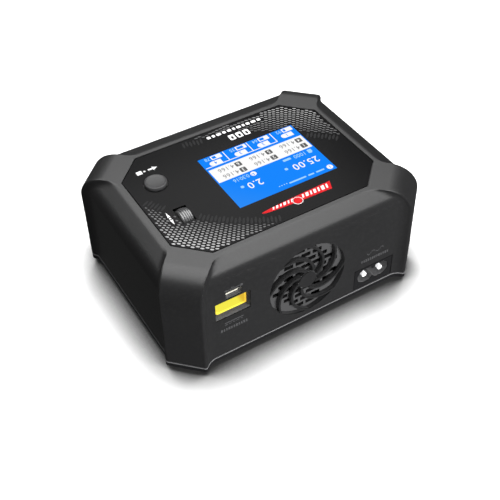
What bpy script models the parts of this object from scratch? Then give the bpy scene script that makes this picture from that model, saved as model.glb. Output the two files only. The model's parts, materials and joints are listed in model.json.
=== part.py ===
"""Balance battery charger: a bench charger with a mains inlet, a DC input, four battery outputs with
their balance sockets, a colour display, a scroll wheel, a push button and a cooling fan.

Frame: origin at the bottom centre, on the plane the rubber feet stand on. +Z is up, +X is the user's
right and +Y the rear, so the outputs face -Y and the fan, the mains inlet and the DC input face +Y.
Lengths below are millimetres; each mesh is scaled to metres when its object is made.
"""
from math import cos, pi, radians, sin, sqrt, tan

import bmesh
import bpy
from mathutils import Vector

MM = 0.001
GAP = 0.3                    # clearance between neighbouring pieces
ROOT2 = sqrt(2.0)

# ---------------------------------------------------------------- driving dimensions
# Case heights
TOP_Z = 53.0                 # rim round the label
SEAM_Z = 5.7                 # joint line between the two halves
BASE_Z = 2.0                 # underside of the lower case
WALL = 2.0
ROOF = 2.7                   # roof thickness at the rim, before the label's recess

# Panels: reach of the rim and of the upright wall, the shoulder's slope and the bend below it
PANEL_X = {"rim": 52.6, "wall": 62.0, "slope": radians(28), "bend": 7.0}
PANEL_Y = {"rim": 37.4, "wall": 47.0, "slope": radians(17), "bend": 5.0}
DRAFT = 0.5                  # how much the walls spread from the top to the seam

# Corner pillars: bands across the 45 degree diagonals, proud of the panels
PILLAR_FLAT = 60.0           # diagonal reach of the pillar's flat top
PILLAR_REACH = 71.9          # diagonal reach of its upright face
PILLAR_DROP = 11.0           # height of the rounding between the two
PILLAR_NEAR = 0.7            # band edges, measured across the diagonal
PILLAR_FAR = 19.2
PILLAR_EDGE = 0.6            # chamfer on the pillar's upright edges
FLANK_FILLET = 4.3           # fillet where a pillar's flank runs into a panel
FILLET_STEPS = 3
CASE_DROPS = (0.0, 0.6, 1.4, 2.4, 3.6, 5.2, 6.8, 8.2, 11.0, TOP_Z - SEAM_Z - GAP / 2)
INNER_DROPS = (11.0, 8.2, 5.2, 2.4, 0.0)

# Top face
LABEL_HALF = (50.0, 35.0)
LABEL_CHAMFER = 12.1
LABEL_DEPTH = 0.9            # depth of the recess the label sits in
LABEL_THICK = 0.5
SCREEN_CENTRE = (-9.5, -0.4)
SCREEN_SIZE = (48.96, 36.72)  # active area of a 2.4 inch module
BUTTON_CENTRE = (37.6, -14.8)
BUTTON_RADIUS = 5.1
BUTTON_RAISE = 1.2
BUTTON_TRAVEL = 0.7
WHEEL_CENTRE = (36.5, 9.1, 48.4)
WHEEL_RADIUS = 6.2
WHEEL_WIDTH = 4.6
WHEEL_RIBS = 5
WHEEL_SLOT = (6.2, 11.2)
WHEEL_TRAVEL = 0.5

# Rear panel
FAN_CENTRE_Z = TOP_Z - 25.6
FAN_SIZE = 40.0
FAN_FRONT = 42.9
FAN_DEPTH = 10.5
FAN_HOLES = 16.0             # half the fixing pitch of a 40 mm fan
GRILLE_RADIUS = 18.75
GRILLE_HUB = 4.4
GRILLE_ARMS = 8
GRILLE_ARM_WIDTH = 2.5
GRILLE_SWEEP = radians(82)
GRILLE_RECESS = 2.2          # how far the mesh lies behind the arms
GRILLE_BACK = 43.4           # inner face of the thickened disc that carries the mesh
GRILLE_BOSS = 19.1            # its radius
MESH_PITCH = (5.6, 3.2)
MESH_HOLE = (4.7, 2.3)
DC_CENTRE = (36.3, 31.4)
DC_FRONT = 44.0              # the connectors stand back from the panel
DC_OPENING = ((28.2, 27.3), (44.4, 37.1))
XT_SIZE = (15.9, 8.1)        # shell of a 60 A bullet connector
XT_PIN_PITCH = 7.2
USB_CENTRE = (35.75, 39.1)
USB_SIZE = (6.9, 2.7)
USB_FRONT = 44.6
USB_OPENING = ((32.05, 37.75), (39.45, 41.7))
COLLAR_BACK = 43.2           # inner end of the walls round both openings
COLLAR_WALL = 1.5
AC_CENTRE = (-35.35, 12.8)
AC_BLOCK = (20.3, 6.2, 18.0)  # width, bottom and top of the inlet's front
AC_LOBE = 4.0                # radius of the two lobes of the figure-of-eight
AC_PITCH = 8.6

# Front panel
OUTPUT_PITCH = 22.4
OUTPUT_COUNT = 4
OUTPUT_Z = 19.5
BALANCE_Z = 36.5
BALANCE_PINS = 7
BALANCE_PITCH = 2.5
BALANCE_SIZE = (19.9, 5.75)
OUTPUT_FRONT = -49.2         # the outputs stand a little proud of the front panel
BALANCE_FRONT = -47.0
OUTPUT_BOARD_Y = -36.7

# Boards and fixings
MAIN_BOARD_Z = (5.0, 6.6)
CONTROL_BOARD_Z = (38.0, 39.6)
CONTROL_POSTS = (42.5, 23.5)
BOARD_POSTS = ((-52.0, -16.0), (52.0, -16.0), (-52.0, 14.0), (52.0, 14.0))
SCREW_REACH = 62.0           # diagonal reach of the case screws, inside the pillars
FEET = (42.0, 31.0)
FOOT_RADIUS = 6.0

# ---------------------------------------------------------------- materials
PLASTIC = ("case_plastic", (0.030, 0.030, 0.032), 0.42, 0.0)
LABEL_FILM = ("label_film", (0.012, 0.012, 0.013), 0.30, 0.0)
CLEAR = ("clear_window", (0.02, 0.10, 0.35), 0.08, 0.0)
SCREEN_BLUE = ("screen_glass", (0.01, 0.22, 0.80), 0.20, 0.0)
KEY_GREY = ("key_plastic", (0.10, 0.10, 0.105), 0.45, 0.0)
WHEEL_DARK = ("wheel_plastic", (0.05, 0.05, 0.055), 0.25, 0.3)
DARK_NYLON = ("dark_nylon", (0.015, 0.015, 0.016), 0.50, 0.0)
YELLOW_NYLON = ("yellow_nylon", (0.85, 0.55, 0.02), 0.40, 0.0)
WHITE_NYLON = ("white_nylon", (0.80, 0.78, 0.72), 0.45, 0.0)
STEEL = ("steel", (0.60, 0.60, 0.62), 0.28, 1.0)
GOLD = ("gold_plate", (0.90, 0.62, 0.22), 0.25, 1.0)
BOARD_GREEN = ("circuit_board", (0.02, 0.16, 0.07), 0.45, 0.0)
RUBBER = ("rubber", (0.02, 0.02, 0.02), 0.80, 0.0)
COPPER = ("copper_winding", (0.55, 0.22, 0.08), 0.35, 1.0)
FERRITE = ("ferrite", (0.07, 0.07, 0.075), 0.60, 0.0)
ALUMINIUM = ("aluminium", (0.70, 0.71, 0.73), 0.35, 1.0)
CAN_BLUE = ("capacitor_sleeve", (0.03, 0.07, 0.22), 0.40, 0.0)
FILM_YELLOW = ("film_capacitor", (0.75, 0.50, 0.05), 0.50, 0.0)
CERAMIC = ("ceramic", (0.80, 0.76, 0.68), 0.55, 0.0)
RIBBON_GREY = ("ribbon_grey", (0.35, 0.35, 0.36), 0.55, 0.0)


def material(recipe):
    """The Principled material of a recipe, made on its first use."""
    name, colour, roughness, metallic = recipe
    found = bpy.data.materials.get(name)
    if found:
        return found
    made = bpy.data.materials.new(name)
    made.use_nodes = True
    shader = made.node_tree.nodes["Principled BSDF"]
    shader.inputs["Base Color"].default_value = (*colour, 1.0)
    shader.inputs["Roughness"].default_value = roughness
    shader.inputs["Metallic"].default_value = metallic
    return made


# ---------------------------------------------------------------- mesh helpers
def place(axis, a, b, station):
    """A point from two coordinates across an axis and a station along it."""
    return {"X": (station, a, b), "Y": (a, station, b), "Z": (a, b, station)}[axis]


def add_loft(bm, rings, closed=False):
    """Join rings of points with walls; the first and last ring are capped unless closed."""
    loops = [[bm.verts.new(point) for point in ring] for ring in rings]
    pairs = list(zip(loops, loops[1:]))
    if closed:
        pairs.append((loops[-1], loops[0]))
    for lower, upper in pairs:
        for i, _ in enumerate(lower):
            j = (i + 1) % len(lower)
            bm.faces.new((lower[i], lower[j], upper[j], upper[i]))
    if not closed:
        bm.faces.new(reversed(loops[0]))
        bm.faces.new(loops[-1])


def add_prism(bm, outline, axis, start, end):
    """Extrude an outline across an axis between two stations."""
    add_loft(bm, [[place(axis, a, b, station) for a, b in outline] for station in (start, end)])


def add_box(bm, low, high):
    """A box between its lowest and highest corners."""
    outline = [(low[0], low[1]), (high[0], low[1]), (high[0], high[1]), (low[0], high[1])]
    add_prism(bm, outline, "Z", low[2], high[2])


def circle(centre, radius, segments):
    """Points round a circle."""
    turns = [2 * pi * i / segments for i in range(segments)]
    return [(centre[0] + radius * cos(t), centre[1] + radius * sin(t)) for t in turns]


def add_turned(bm, profile, centre, axis, segments=24, closed=False):
    """Turn (radius, station) points about an axis through the centre."""
    rings = [[place(axis, a, b, station) for a, b in circle(centre, radius, segments)]
             for radius, station in profile]
    add_loft(bm, rings, closed)


def chamfered(centre, size, cut):
    """A rectangle with all four corners cut at 45 degrees."""
    (x, y), (hx, hy) = centre, (size[0] / 2, size[1] / 2)
    corner = [(hx, hy - cut), (hx - cut, hy)]
    quarters = corner + [(-a, b) for a, b in reversed(corner)]
    return [(x + a, y + b) for a, b in quarters + [(-a, -b) for a, b in quarters]]


def make_object(name, bm, recipe, origin=(0.0, 0.0, 0.0), smooth_angle=35):
    """Turn a bmesh in millimetres into an object in metres with its origin at a given point."""
    bmesh.ops.recalc_face_normals(bm, faces=bm.faces)
    bmesh.ops.translate(bm, vec=-Vector(origin), verts=bm.verts)
    bmesh.ops.scale(bm, vec=(MM, MM, MM), verts=bm.verts)
    mesh = bpy.data.meshes.new(name)
    bm.to_mesh(mesh)
    bm.free()
    mesh.materials.append(material(recipe))
    mesh.shade_smooth()
    mesh.set_sharp_from_angle(angle=radians(smooth_angle))
    made = bpy.data.objects.new(name, mesh)
    made.location = Vector(origin) * MM
    bpy.context.collection.objects.link(made)
    return made


def combine(target, bm, operation="DIFFERENCE"):
    """Cut a shape out of an object, or with UNION add it; a cut shape stays as a wire guide."""
    tool = make_object(f"tool_{target.name}_{len(target.modifiers)}", bm, PLASTIC)
    tool.hide_render = True
    tool.display_type = "WIRE"
    step = target.modifiers.new(tool.name, "BOOLEAN")
    step.operation = operation
    step.object = tool


# ---------------------------------------------------------------- case outline
def panel_reach(drop, panel):
    """How far out a panel stands at a drop below the rim: slope, bend, then upright wall."""
    rim, wall, slope, bend = panel["rim"], panel["wall"], panel["slope"], panel["bend"]
    slope_end = wall - bend + bend * sin(slope)
    slope_drop = (slope_end - rim) * tan(slope)
    bend_drop = slope_drop + bend * cos(slope)
    spread = DRAFT * drop / TOP_Z
    if drop <= slope_drop:
        return rim + drop / tan(slope) + spread
    if drop >= bend_drop:
        return wall + spread
    return wall - bend + sqrt(bend ** 2 - (bend_drop - drop) ** 2) + spread


def pillar_reach(drop):
    """Diagonal reach of a pillar at a drop below the rim: an elliptic rounding, then upright."""
    left = max(0.0, 1.0 - drop / PILLAR_DROP)
    rounding = (PILLAR_REACH - PILLAR_FLAT) * sqrt(1.0 - left ** 2)
    return PILLAR_FLAT + rounding + DRAFT * drop / TOP_Z


def bezier(start, control, end, steps):
    """Points along a quadratic curve, ends included."""
    weights = [i / steps for i in range(steps + 1)]
    return [tuple((1 - w) ** 2 * s + 2 * w * (1 - w) * c + w ** 2 * e
                  for s, c, e in zip(start, control, end)) for w in weights]


def flank(panel, corner, toward_corner, along_panel):
    """Fillet from a panel up a pillar's flank, then the chamfer of the pillar's upright edge."""
    length = (Vector(corner) - Vector(panel)).length
    run = min(FLANK_FILLET, length - PILLAR_EDGE)
    start = Vector(panel) + run * Vector(along_panel)
    end = Vector(panel) + run * Vector(toward_corner)
    return bezier(start, panel, end, FILLET_STEPS)


def case_ring(drop, z, inset=0.0):
    """Outline of the case at a drop below the rim, moved inward by an inset, at height z."""
    reach_x = panel_reach(drop, PANEL_X) - inset
    reach_y = panel_reach(drop, PANEL_Y) - inset
    reach = pillar_reach(drop) - inset
    near, far = PILLAR_NEAR + inset, PILLAR_FAR - inset
    corner_x = Vector((reach + far, reach - far)) / ROOT2
    corner_y = Vector((reach + near, reach - near)) / ROOT2
    foot_x = Vector((reach_x, reach_x - ROOT2 * far))
    foot_y = Vector((reach_y + ROOT2 * near, reach_y))
    out = Vector((1, 1)) / ROOT2
    across = Vector((-1, 1)) / ROOT2 * PILLAR_EDGE
    quarter = flank(foot_x, corner_x, out, Vector((0, -1))) + [tuple(corner_x + across)]
    quarter += [tuple(corner_y - across)]
    quarter += reversed(flank(foot_y, corner_y, out, Vector((-1, 0))))
    half = quarter + [(-x, y) for x, y in reversed(quarter)]
    return [(x, y, z) for x, y in half + [(-x, -y) for x, y in half]]


def pillar_points(reach):
    """The four points on the pillars' middle lines at a diagonal reach."""
    middle = (PILLAR_NEAR + PILLAR_FAR) / 2
    x, y = (reach + middle) / ROOT2, (reach - middle) / ROOT2
    return [(x, y), (-x, y), (-x, -y), (x, -y)]


def corner_points(half):
    """The four corners of a centred rectangle, from half its width and depth."""
    return [(sx * half[0], sy * half[1]) for sx, sy in ((1, 1), (-1, 1), (-1, -1), (1, -1))]


def label_outline(margin):
    """The label's octagon, shrunk by a margin."""
    width, depth = LABEL_HALF[0] - margin, LABEL_HALF[1] - margin
    return chamfered((0.0, 0.0), (2 * width, 2 * depth), LABEL_CHAMFER - margin * (2 - ROOT2))


def window_outline(margin):
    """Corners of the display window, grown by a margin, as (low x, low y), (high x, high y)."""
    (x, y), (w, d) = SCREEN_CENTRE, SCREEN_SIZE
    return (x - w / 2 - margin, y - d / 2 - margin), (x + w / 2 + margin, y + d / 2 + margin)


# ---------------------------------------------------------------- case
def grille_arm_gaps():
    """Outlines of the gaps between the grille's spiral arms, on the rear panel."""
    steps = 6
    radii = [GRILLE_HUB + (GRILLE_RADIUS - GRILLE_HUB) * i / steps for i in range(steps + 1)]
    spacing = 2 * pi / GRILLE_ARMS

    def edge(radius, arm, side):
        turned = GRILLE_SWEEP * (radius - GRILLE_HUB) / (GRILLE_RADIUS - GRILLE_HUB)
        half_width = GRILLE_ARM_WIDTH / 2 / radius * 1.25
        return arm * spacing + turned - GRILLE_SWEEP + side * half_width

    def point(radius, angle):
        return -radius * cos(angle), FAN_CENTRE_Z + radius * sin(angle)

    gaps = []
    for arm in range(GRILLE_ARMS):
        leading = [point(r, edge(r, arm, 1)) for r in radii]
        trailing = [point(r, edge(r, arm + 1, -1)) for r in reversed(radii)]
        first, last = edge(GRILLE_RADIUS, arm, 1), edge(GRILLE_RADIUS, arm + 1, -1)
        rim = [point(GRILLE_RADIUS, first + (last - first) * i / 4) for i in range(1, 4)]
        gaps.append(leading + rim + trailing)
    return gaps


def mesh_holes():
    """Centres of the staggered holes in the mesh behind the arms."""
    rows = int(GRILLE_RADIUS / MESH_PITCH[1])
    for row in range(-rows, rows + 1):
        shift = MESH_PITCH[0] / 2 if row % 2 else 0.0
        for column in range(-4, 5):
            x, z = column * MESH_PITCH[0] + shift, row * MESH_PITCH[1]
            if sqrt((abs(x) + MESH_HOLE[0] / 2) ** 2 + (abs(z) + MESH_HOLE[1] / 2) ** 2) < GRILLE_RADIUS:
                yield x, FAN_CENTRE_Z + z


def add_figure_of_eight(bm, radius, start, end):
    """The inlet's cavity: two round ends with a notch above and below the middle."""
    (x, z), lobe = AC_CENTRE, AC_PITCH / 2
    half = [(x + lobe + radius * cos(a), z + radius * sin(a))
            for a in [pi * (i / 10 - 0.5) for i in range(11)]]
    half += [(x + 1.6, z + radius), (x + 0.4, z + radius * 0.56)]
    add_prism(bm, half + [(2 * x - a, 2 * z - b) for a, b in half], "Y", start, end)


def output_places():
    """X positions of the outputs, first channel on the user's left."""
    return [(i - (OUTPUT_COUNT - 1) / 2) * OUTPUT_PITCH for i in range(OUTPUT_COUNT)]


def cut_rear_panel(case):
    """Openings of the fan grille, the DC input, the service port and the mains inlet."""
    wall_out = PANEL_Y["wall"] + DRAFT + 1.0
    wall_in = PANEL_Y["wall"] - WALL - 1.0
    face = panel_reach(TOP_Z - FAN_CENTRE_Z, PANEL_Y)
    bm = bmesh.new()
    add_turned(bm, [(GRILLE_BOSS, GRILLE_BACK), (GRILLE_BOSS, face - 1.0)], (0, FAN_CENTRE_Z), "Y", 40)
    combine(case, bm, "UNION")
    for low, high in (DC_OPENING, USB_OPENING):
        bm = bmesh.new()
        add_box(bm, (low[0] - COLLAR_WALL, COLLAR_BACK, low[1] - COLLAR_WALL),
                (high[0] + COLLAR_WALL, face - 1.0, high[1] + COLLAR_WALL))
        combine(case, bm, "UNION")
    bm = bmesh.new()
    for outline in grille_arm_gaps():
        add_prism(bm, outline, "Y", face - GRILLE_RECESS, wall_out)
    combine(case, bm)
    bm = bmesh.new()
    for x, z in mesh_holes():
        half_x, half_z = MESH_HOLE[0] / 2, MESH_HOLE[1] / 2
        add_box(bm, (x - half_x, GRILLE_BACK - 1.0, z - half_z),
                (x + half_x, face - GRILLE_RECESS + 0.25, z + half_z))
    combine(case, bm)
    bm = bmesh.new()
    for low, high in (DC_OPENING, USB_OPENING):
        add_box(bm, (low[0], COLLAR_BACK - 1.0, low[1]), (high[0], wall_out, high[1]))
    add_box(bm, (AC_CENTRE[0] - AC_BLOCK[0] / 2 - GAP, wall_in, SEAM_Z - 2.0),
            (AC_CENTRE[0] + AC_BLOCK[0] / 2 + GAP, wall_out, AC_BLOCK[2] + GAP))
    combine(case, bm)


def cut_front_panel(case):
    """Openings of the battery outputs and the balance sockets."""
    wall_out = -(PANEL_Y["wall"] + DRAFT + 1.0)
    wall_in = -(PANEL_Y["wall"] - WALL - 1.0)
    bm = bmesh.new()
    for x in output_places():
        add_prism(bm, connector_shell((x, OUTPUT_Z), XT_SIZE, GAP), "Y", wall_out, wall_in)
        size = (BALANCE_SIZE[0] + 2 * GAP, BALANCE_SIZE[1] + 2 * GAP)
        add_prism(bm, chamfered((x, BALANCE_Z), size, 0.3), "Y", wall_out, wall_in)
    combine(case, bm)


def cut_top(case):
    """The label's recess, the display window, the button's hole and the wheel's slot."""
    bm = bmesh.new()
    add_prism(bm, label_outline(0.0), "Z", TOP_Z - LABEL_DEPTH, TOP_Z + 1.0)
    combine(case, bm)
    bm = bmesh.new()
    low, high = window_outline(1.0)
    add_box(bm, (*low, TOP_Z - ROOF - 1.0), (*high, TOP_Z))
    add_prism(bm, circle(BUTTON_CENTRE, BUTTON_RADIUS + GAP, 24), "Z", TOP_Z - ROOF - 1.0, TOP_Z)
    (x, y, _), (w, d) = WHEEL_CENTRE, WHEEL_SLOT
    add_box(bm, (x - w / 2, y - d / 2, TOP_Z - ROOF - 1.0), (x + w / 2, y + d / 2, TOP_Z))
    combine(case, bm)
    bm = bmesh.new()
    add_box(bm, (x - w / 2 - 1.0, y - d / 2 - 1.4, TOP_Z - ROOF - 1.0),
            (x + w / 2 + 1.0, y + d / 2 + 1.4, TOP_Z - ROOF + 1.3))
    combine(case, bm)


def upper_case():
    """The upper shell, with screw towers in its pillars and posts for the control board."""
    outer = [case_ring(drop, TOP_Z - drop) for drop in CASE_DROPS]
    seam_drop = CASE_DROPS[-1]
    inner = [case_ring(seam_drop, TOP_Z - seam_drop, WALL)]
    inner += [case_ring(drop, TOP_Z - drop - ROOF, WALL) for drop in INNER_DROPS]
    bm = bmesh.new()
    add_loft(bm, outer + inner)
    case = make_object("upper_case", bm, PLASTIC)
    bm = bmesh.new()
    for point in pillar_points(SCREW_REACH):
        add_turned(bm, [(4.0, 9.0), (4.0, TOP_Z - ROOF + 0.3)], point, "Z", 20)
    for point in corner_points(CONTROL_POSTS):
        add_turned(bm, [(2.8, CONTROL_BOARD_Z[1] + GAP), (2.8, TOP_Z - ROOF + 0.5)], point, "Z", 16)
    for x, z in fan_screw_places():
        add_turned(bm, [(3.0, FAN_FRONT + GAP), (3.0, PANEL_Y["wall"] - WALL + 0.8)],
                   (x, z), "Y", 16)
    combine(case, bm, "UNION")
    bm = bmesh.new()
    for point in pillar_points(SCREW_REACH):
        add_turned(bm, [(1.6, 8.0), (1.6, 24.0)], point, "Z", 12)
    for point in corner_points(CONTROL_POSTS):
        add_turned(bm, [(1.4, CONTROL_BOARD_Z[1] - 1.0), (1.4, CONTROL_BOARD_Z[1] + 8.5)], point,
                   "Z", 12)
    for x, z in fan_screw_places():
        add_turned(bm, [(1.6, FAN_FRONT - 1.0), (1.6, PANEL_Y["wall"] - WALL + 0.2)],
                   (x, z), "Y", 12)
    combine(case, bm)
    cut_top(case)
    cut_rear_panel(case)
    cut_front_panel(case)
    return case


def lower_case():
    """The tray that closes the case: a tongue behind the seam, screw towers and air slots."""
    drop = TOP_Z - SEAM_Z
    rim = SEAM_Z - GAP / 2
    tongue = SEAM_Z + 2.3
    floor = BASE_Z + 1.8
    rings = [(BASE_Z, 1.6), (BASE_Z + 0.5, 0.6), (BASE_Z + 1.6, 0.0), (rim, 0.0),
             (rim, WALL + GAP), (tongue, WALL + GAP), (tongue, WALL + 1.5), (floor, WALL + 1.5)]
    bm = bmesh.new()
    add_loft(bm, [case_ring(drop, z, inset) for z, inset in rings])
    tray = make_object("lower_case", bm, PLASTIC)
    bm = bmesh.new()
    for point in pillar_points(SCREW_REACH):
        add_turned(bm, [(4.0, floor - 0.6), (4.0, 8.7)], point, "Z", 20)
    for point in BOARD_POSTS:
        add_turned(bm, [(3.0, floor - 0.6), (3.0, MAIN_BOARD_Z[0] - GAP)], point, "Z", 16)
    combine(tray, bm, "UNION")
    bm = bmesh.new()
    for point in pillar_points(SCREW_REACH):
        add_turned(bm, [(3.3, BASE_Z - 1.0), (3.3, 4.6), (1.8, 4.6), (1.8, 9.5)], point, "Z", 16)
    for point in BOARD_POSTS:
        add_turned(bm, [(1.6, BASE_Z + 0.6), (1.6, MAIN_BOARD_Z[0])], point, "Z", 12)
    for point in corner_points(FEET):
        add_turned(bm, [(FOOT_RADIUS + GAP, BASE_Z - 1.0), (FOOT_RADIUS + GAP, BASE_Z + 0.5)], point,
                   "Z", 24)
    for column in range(-4, 5):
        x = column * 6.5
        add_box(bm, (x - 1.2, -14.0, BASE_Z - 1.0), (x + 1.2, 14.0, floor + 1.0))
    half = AC_BLOCK[0] / 2 + GAP
    add_box(bm, (AC_CENTRE[0] - half, 30.0, rim), (AC_CENTRE[0] + half, PANEL_Y["wall"], tongue + 1.0))
    combine(tray, bm)
    return tray


def top_label():
    """The printed film in the roof's recess, open over the display, the button and the wheel."""
    low_z = TOP_Z - LABEL_DEPTH + GAP
    bm = bmesh.new()
    add_prism(bm, label_outline(GAP), "Z", low_z, low_z + LABEL_THICK)
    film = make_object("top_label", bm, LABEL_FILM)
    bm = bmesh.new()
    low, high = window_outline(GAP)
    add_box(bm, (*low, low_z - 1.0), (*high, TOP_Z + 1.0))
    add_prism(bm, circle(BUTTON_CENTRE, BUTTON_RADIUS + GAP, 24), "Z", low_z - 1.0, TOP_Z + 1.0)
    (x, y, _), (w, d) = WHEEL_CENTRE, WHEEL_SLOT
    add_box(bm, (x - w / 2, y - d / 2, low_z - 1.0), (x + w / 2, y + d / 2, TOP_Z + 1.0))
    combine(film, bm)
    return film


def case_screws():
    """Four self-tapping screws driven up through the lower case into the pillars."""
    profile = [(2.7, 2.8), (2.7, 4.3), (1.3, 4.3), (1.3, 20.0), (0.5, 21.5)]
    for number, point in enumerate(pillar_points(SCREW_REACH), 1):
        bm = bmesh.new()
        add_turned(bm, profile, point, "Z", 16)
        make_object(f"case_screw_{number}", bm, STEEL)


def rubber_feet():
    """Four round feet stuck into shallow seats in the lower case."""
    profile = [(FOOT_RADIUS - 0.4, 0.0), (FOOT_RADIUS, 0.5), (FOOT_RADIUS, BASE_Z + 0.2)]
    for number, point in enumerate(corner_points(FEET), 1):
        bm = bmesh.new()
        add_turned(bm, profile, point, "Z", 24)
        make_object(f"rubber_foot_{number}", bm, RUBBER)


# ---------------------------------------------------------------- display, button and wheel
def display_window():
    """The clear window over the display, flush with the label."""
    top = TOP_Z - LABEL_DEPTH + GAP + LABEL_THICK
    low, high = window_outline(0.0)
    bm = bmesh.new()
    add_box(bm, (*low, top - 0.5), (*high, top))
    return make_object("display_window", bm, CLEAR)


def display_module():
    """The display: a circuit board with the glass stack rising into the roof's window."""
    x, y = SCREEN_CENTRE
    low, high = window_outline(0.6)
    bm = bmesh.new()
    add_box(bm, (x - 29.0, y - 21.4, 48.5), (x + 31.3, y + 21.4, 49.9))
    board = make_object("display_module", bm, SCREEN_BLUE)
    bm = bmesh.new()
    add_box(bm, (*low, 49.5), (*high, 52.0))
    combine(board, bm, "UNION")
    return board


def display_header():
    """The pin strip that joins the display's board to the control board."""
    x = SCREEN_CENTRE[0] - 27.0
    bm = bmesh.new()
    add_box(bm, (x - 1.3, -18.0, CONTROL_BOARD_Z[1] + GAP), (x + 1.3, 18.0, 48.2))
    return make_object("display_header", bm, DARK_NYLON)


def exit_button():
    """The round keycap, with a flange under the roof and a stem over its switch."""
    r, top = BUTTON_RADIUS, TOP_Z + BUTTON_RAISE
    profile = [(1.6, 45.4), (1.6, 48.6), (r + 1.2, 48.6), (r + 1.2, 49.9), (r, 49.9), (r, top - 0.9),
               (r - 0.3, top - 0.3), (r - 0.9, top), (r - 1.6, top), (r - 2.2, top - 0.25)]
    bm = bmesh.new()
    add_turned(bm, profile, BUTTON_CENTRE, "Z", 24)
    return make_object("exit_button", bm, KEY_GREY, (*BUTTON_CENTRE, top))


def tact_switch(name, centre, plunger_top, travel):
    """A tactile switch on the control board and the plunger that its key presses."""
    base = CONTROL_BOARD_Z[1] + GAP
    top = base + 3.4
    bm = bmesh.new()
    add_prism(bm, chamfered(centre, (6.0, 6.0), 0.5), "Z", base, top)
    body = make_object(name, bm, DARK_NYLON)
    bm = bmesh.new()
    add_turned(bm, [(1.9, top - 1.4 - travel), (1.9, top + 1.0)], centre, "Z", 16)
    combine(body, bm)
    bm = bmesh.new()
    add_turned(bm, [(1.6, top - 1.1), (1.6, plunger_top)], centre, "Z", 16)
    make_object(f"{name}_plunger", bm, KEY_GREY, (*centre, plunger_top))


def scroll_wheel():
    """The wheel with its ribs round the rim and its axle, one solid turned about X."""
    x, y, z = WHEEL_CENTRE
    half, axle, groove = WHEEL_WIDTH / 2, 4.3, 0.4
    profile = [(1.0, -axle), (1.0, -half - 0.3), (2.2, -half), (WHEEL_RADIUS - 0.8, -half)]
    pitch = (WHEEL_WIDTH - 0.6) / WHEEL_RIBS
    for rib in range(WHEEL_RIBS):
        start = -half + 0.3 + rib * pitch
        profile += [(WHEEL_RADIUS - groove, start), (WHEEL_RADIUS, start + 0.15),
                    (WHEEL_RADIUS, start + pitch - 0.35), (WHEEL_RADIUS - groove, start + pitch - 0.2)]
    profile += [(WHEEL_RADIUS - 0.8, half), (2.2, half), (1.0, half + 0.3), (1.0, axle)]
    bm = bmesh.new()
    add_turned(bm, [(radius, x + station) for radius, station in profile], (y, z), "X", 40)
    return make_object("scroll_wheel", bm, WHEEL_DARK, WHEEL_CENTRE, 20)


def wheel_carrier():
    """The cradle whose two forks hold the wheel's axle; it moves down on its switch when pressed."""
    x, y, z = WHEEL_CENTRE
    bm = bmesh.new()
    add_box(bm, (x - 4.5, y - 12.4, 44.0), (x + 4.5, y + 8.6, 45.4))
    cradle = make_object("wheel_carrier", bm, DARK_NYLON, (x, y, 44.0))
    bm = bmesh.new()
    for side in (-1, 1):
        inner, outer = sorted((x + side * 2.9, x + side * 4.5))
        add_box(bm, (inner, y - 2.4, 44.6), (outer, y + 2.4, 49.8))
    combine(cradle, bm, "UNION")
    bm = bmesh.new()
    add_box(bm, (x - 2.7, y - 7.5, 43.0), (x + 2.7, y + 7.5, 46.5))
    combine(cradle, bm)
    bm = bmesh.new()
    add_turned(bm, [(1.3, x - 6.0), (1.3, x + 6.0)], (y, z), "X", 12)
    combine(cradle, bm)
    bm = bmesh.new()
    add_box(bm, (x - 6.0, y - 0.9, z), (x + 6.0, y + 0.9, z + 4.0))
    combine(cradle, bm)
    return cradle


# ---------------------------------------------------------------- rear connectors and fan
def connector_shell(centre, size, margin=0.0):
    """Outline of the bullet connector's shell: one end square, the other with cut corners."""
    (x, z), hx, hz, cut = centre, size[0] / 2 + margin, size[1] / 2 + margin, 2.2
    return [(x - hx, z - hz), (x + hx - cut, z - hz), (x + hx, z - hz + cut),
            (x + hx, z + hz - cut), (x + hx - cut, z + hz), (x - hx, z + hz)]


def dc_input():
    """The DC input: a hooded shell with two bullet pins."""
    bm = bmesh.new()
    add_prism(bm, connector_shell(DC_CENTRE, XT_SIZE), "Y", 34.0, DC_FRONT)
    shell = make_object("dc_input_socket", bm, YELLOW_NYLON)
    bm = bmesh.new()
    add_prism(bm, connector_shell(DC_CENTRE, (XT_SIZE[0] - 1.8, XT_SIZE[1] - 1.8)), "Y",
              36.0, DC_FRONT + 1.0)
    pins = [(DC_CENTRE[0] + side * XT_PIN_PITCH / 2, DC_CENTRE[1]) for side in (-1, 1)]
    combine(shell, bm)
    bm = bmesh.new()
    for pin in pins:
        add_turned(bm, [(2.05, 33.0), (2.05, 36.5)], pin, "Y", 20)
    combine(shell, bm)
    for number, pin in enumerate(pins, 1):
        bm = bmesh.new()
        add_turned(bm, [(1.75, 34.3), (1.75, DC_FRONT - 3.4), (1.3, DC_FRONT - 2.8)], pin, "Y", 20)
        make_object(f"dc_input_pin_{number}", bm, GOLD)


def usb_port():
    """The service port: a folded steel shell with its contact tongue."""
    bm = bmesh.new()
    add_prism(bm, chamfered(USB_CENTRE, USB_SIZE, 0.6), "Y", 34.0, USB_FRONT)
    shell = make_object("usb_port", bm, STEEL)
    bm = bmesh.new()
    add_prism(bm, chamfered(USB_CENTRE, (USB_SIZE[0] - 0.7, USB_SIZE[1] - 0.7), 0.4), "Y",
              USB_FRONT - 5.0, USB_FRONT + 1.0)
    combine(shell, bm)
    bm = bmesh.new()
    x, z = USB_CENTRE
    add_box(bm, (x - 2.2, USB_FRONT - 5.5, z - 0.3), (x + 2.2, USB_FRONT - 0.6, z + 0.3))
    combine(shell, bm, "UNION")


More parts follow.
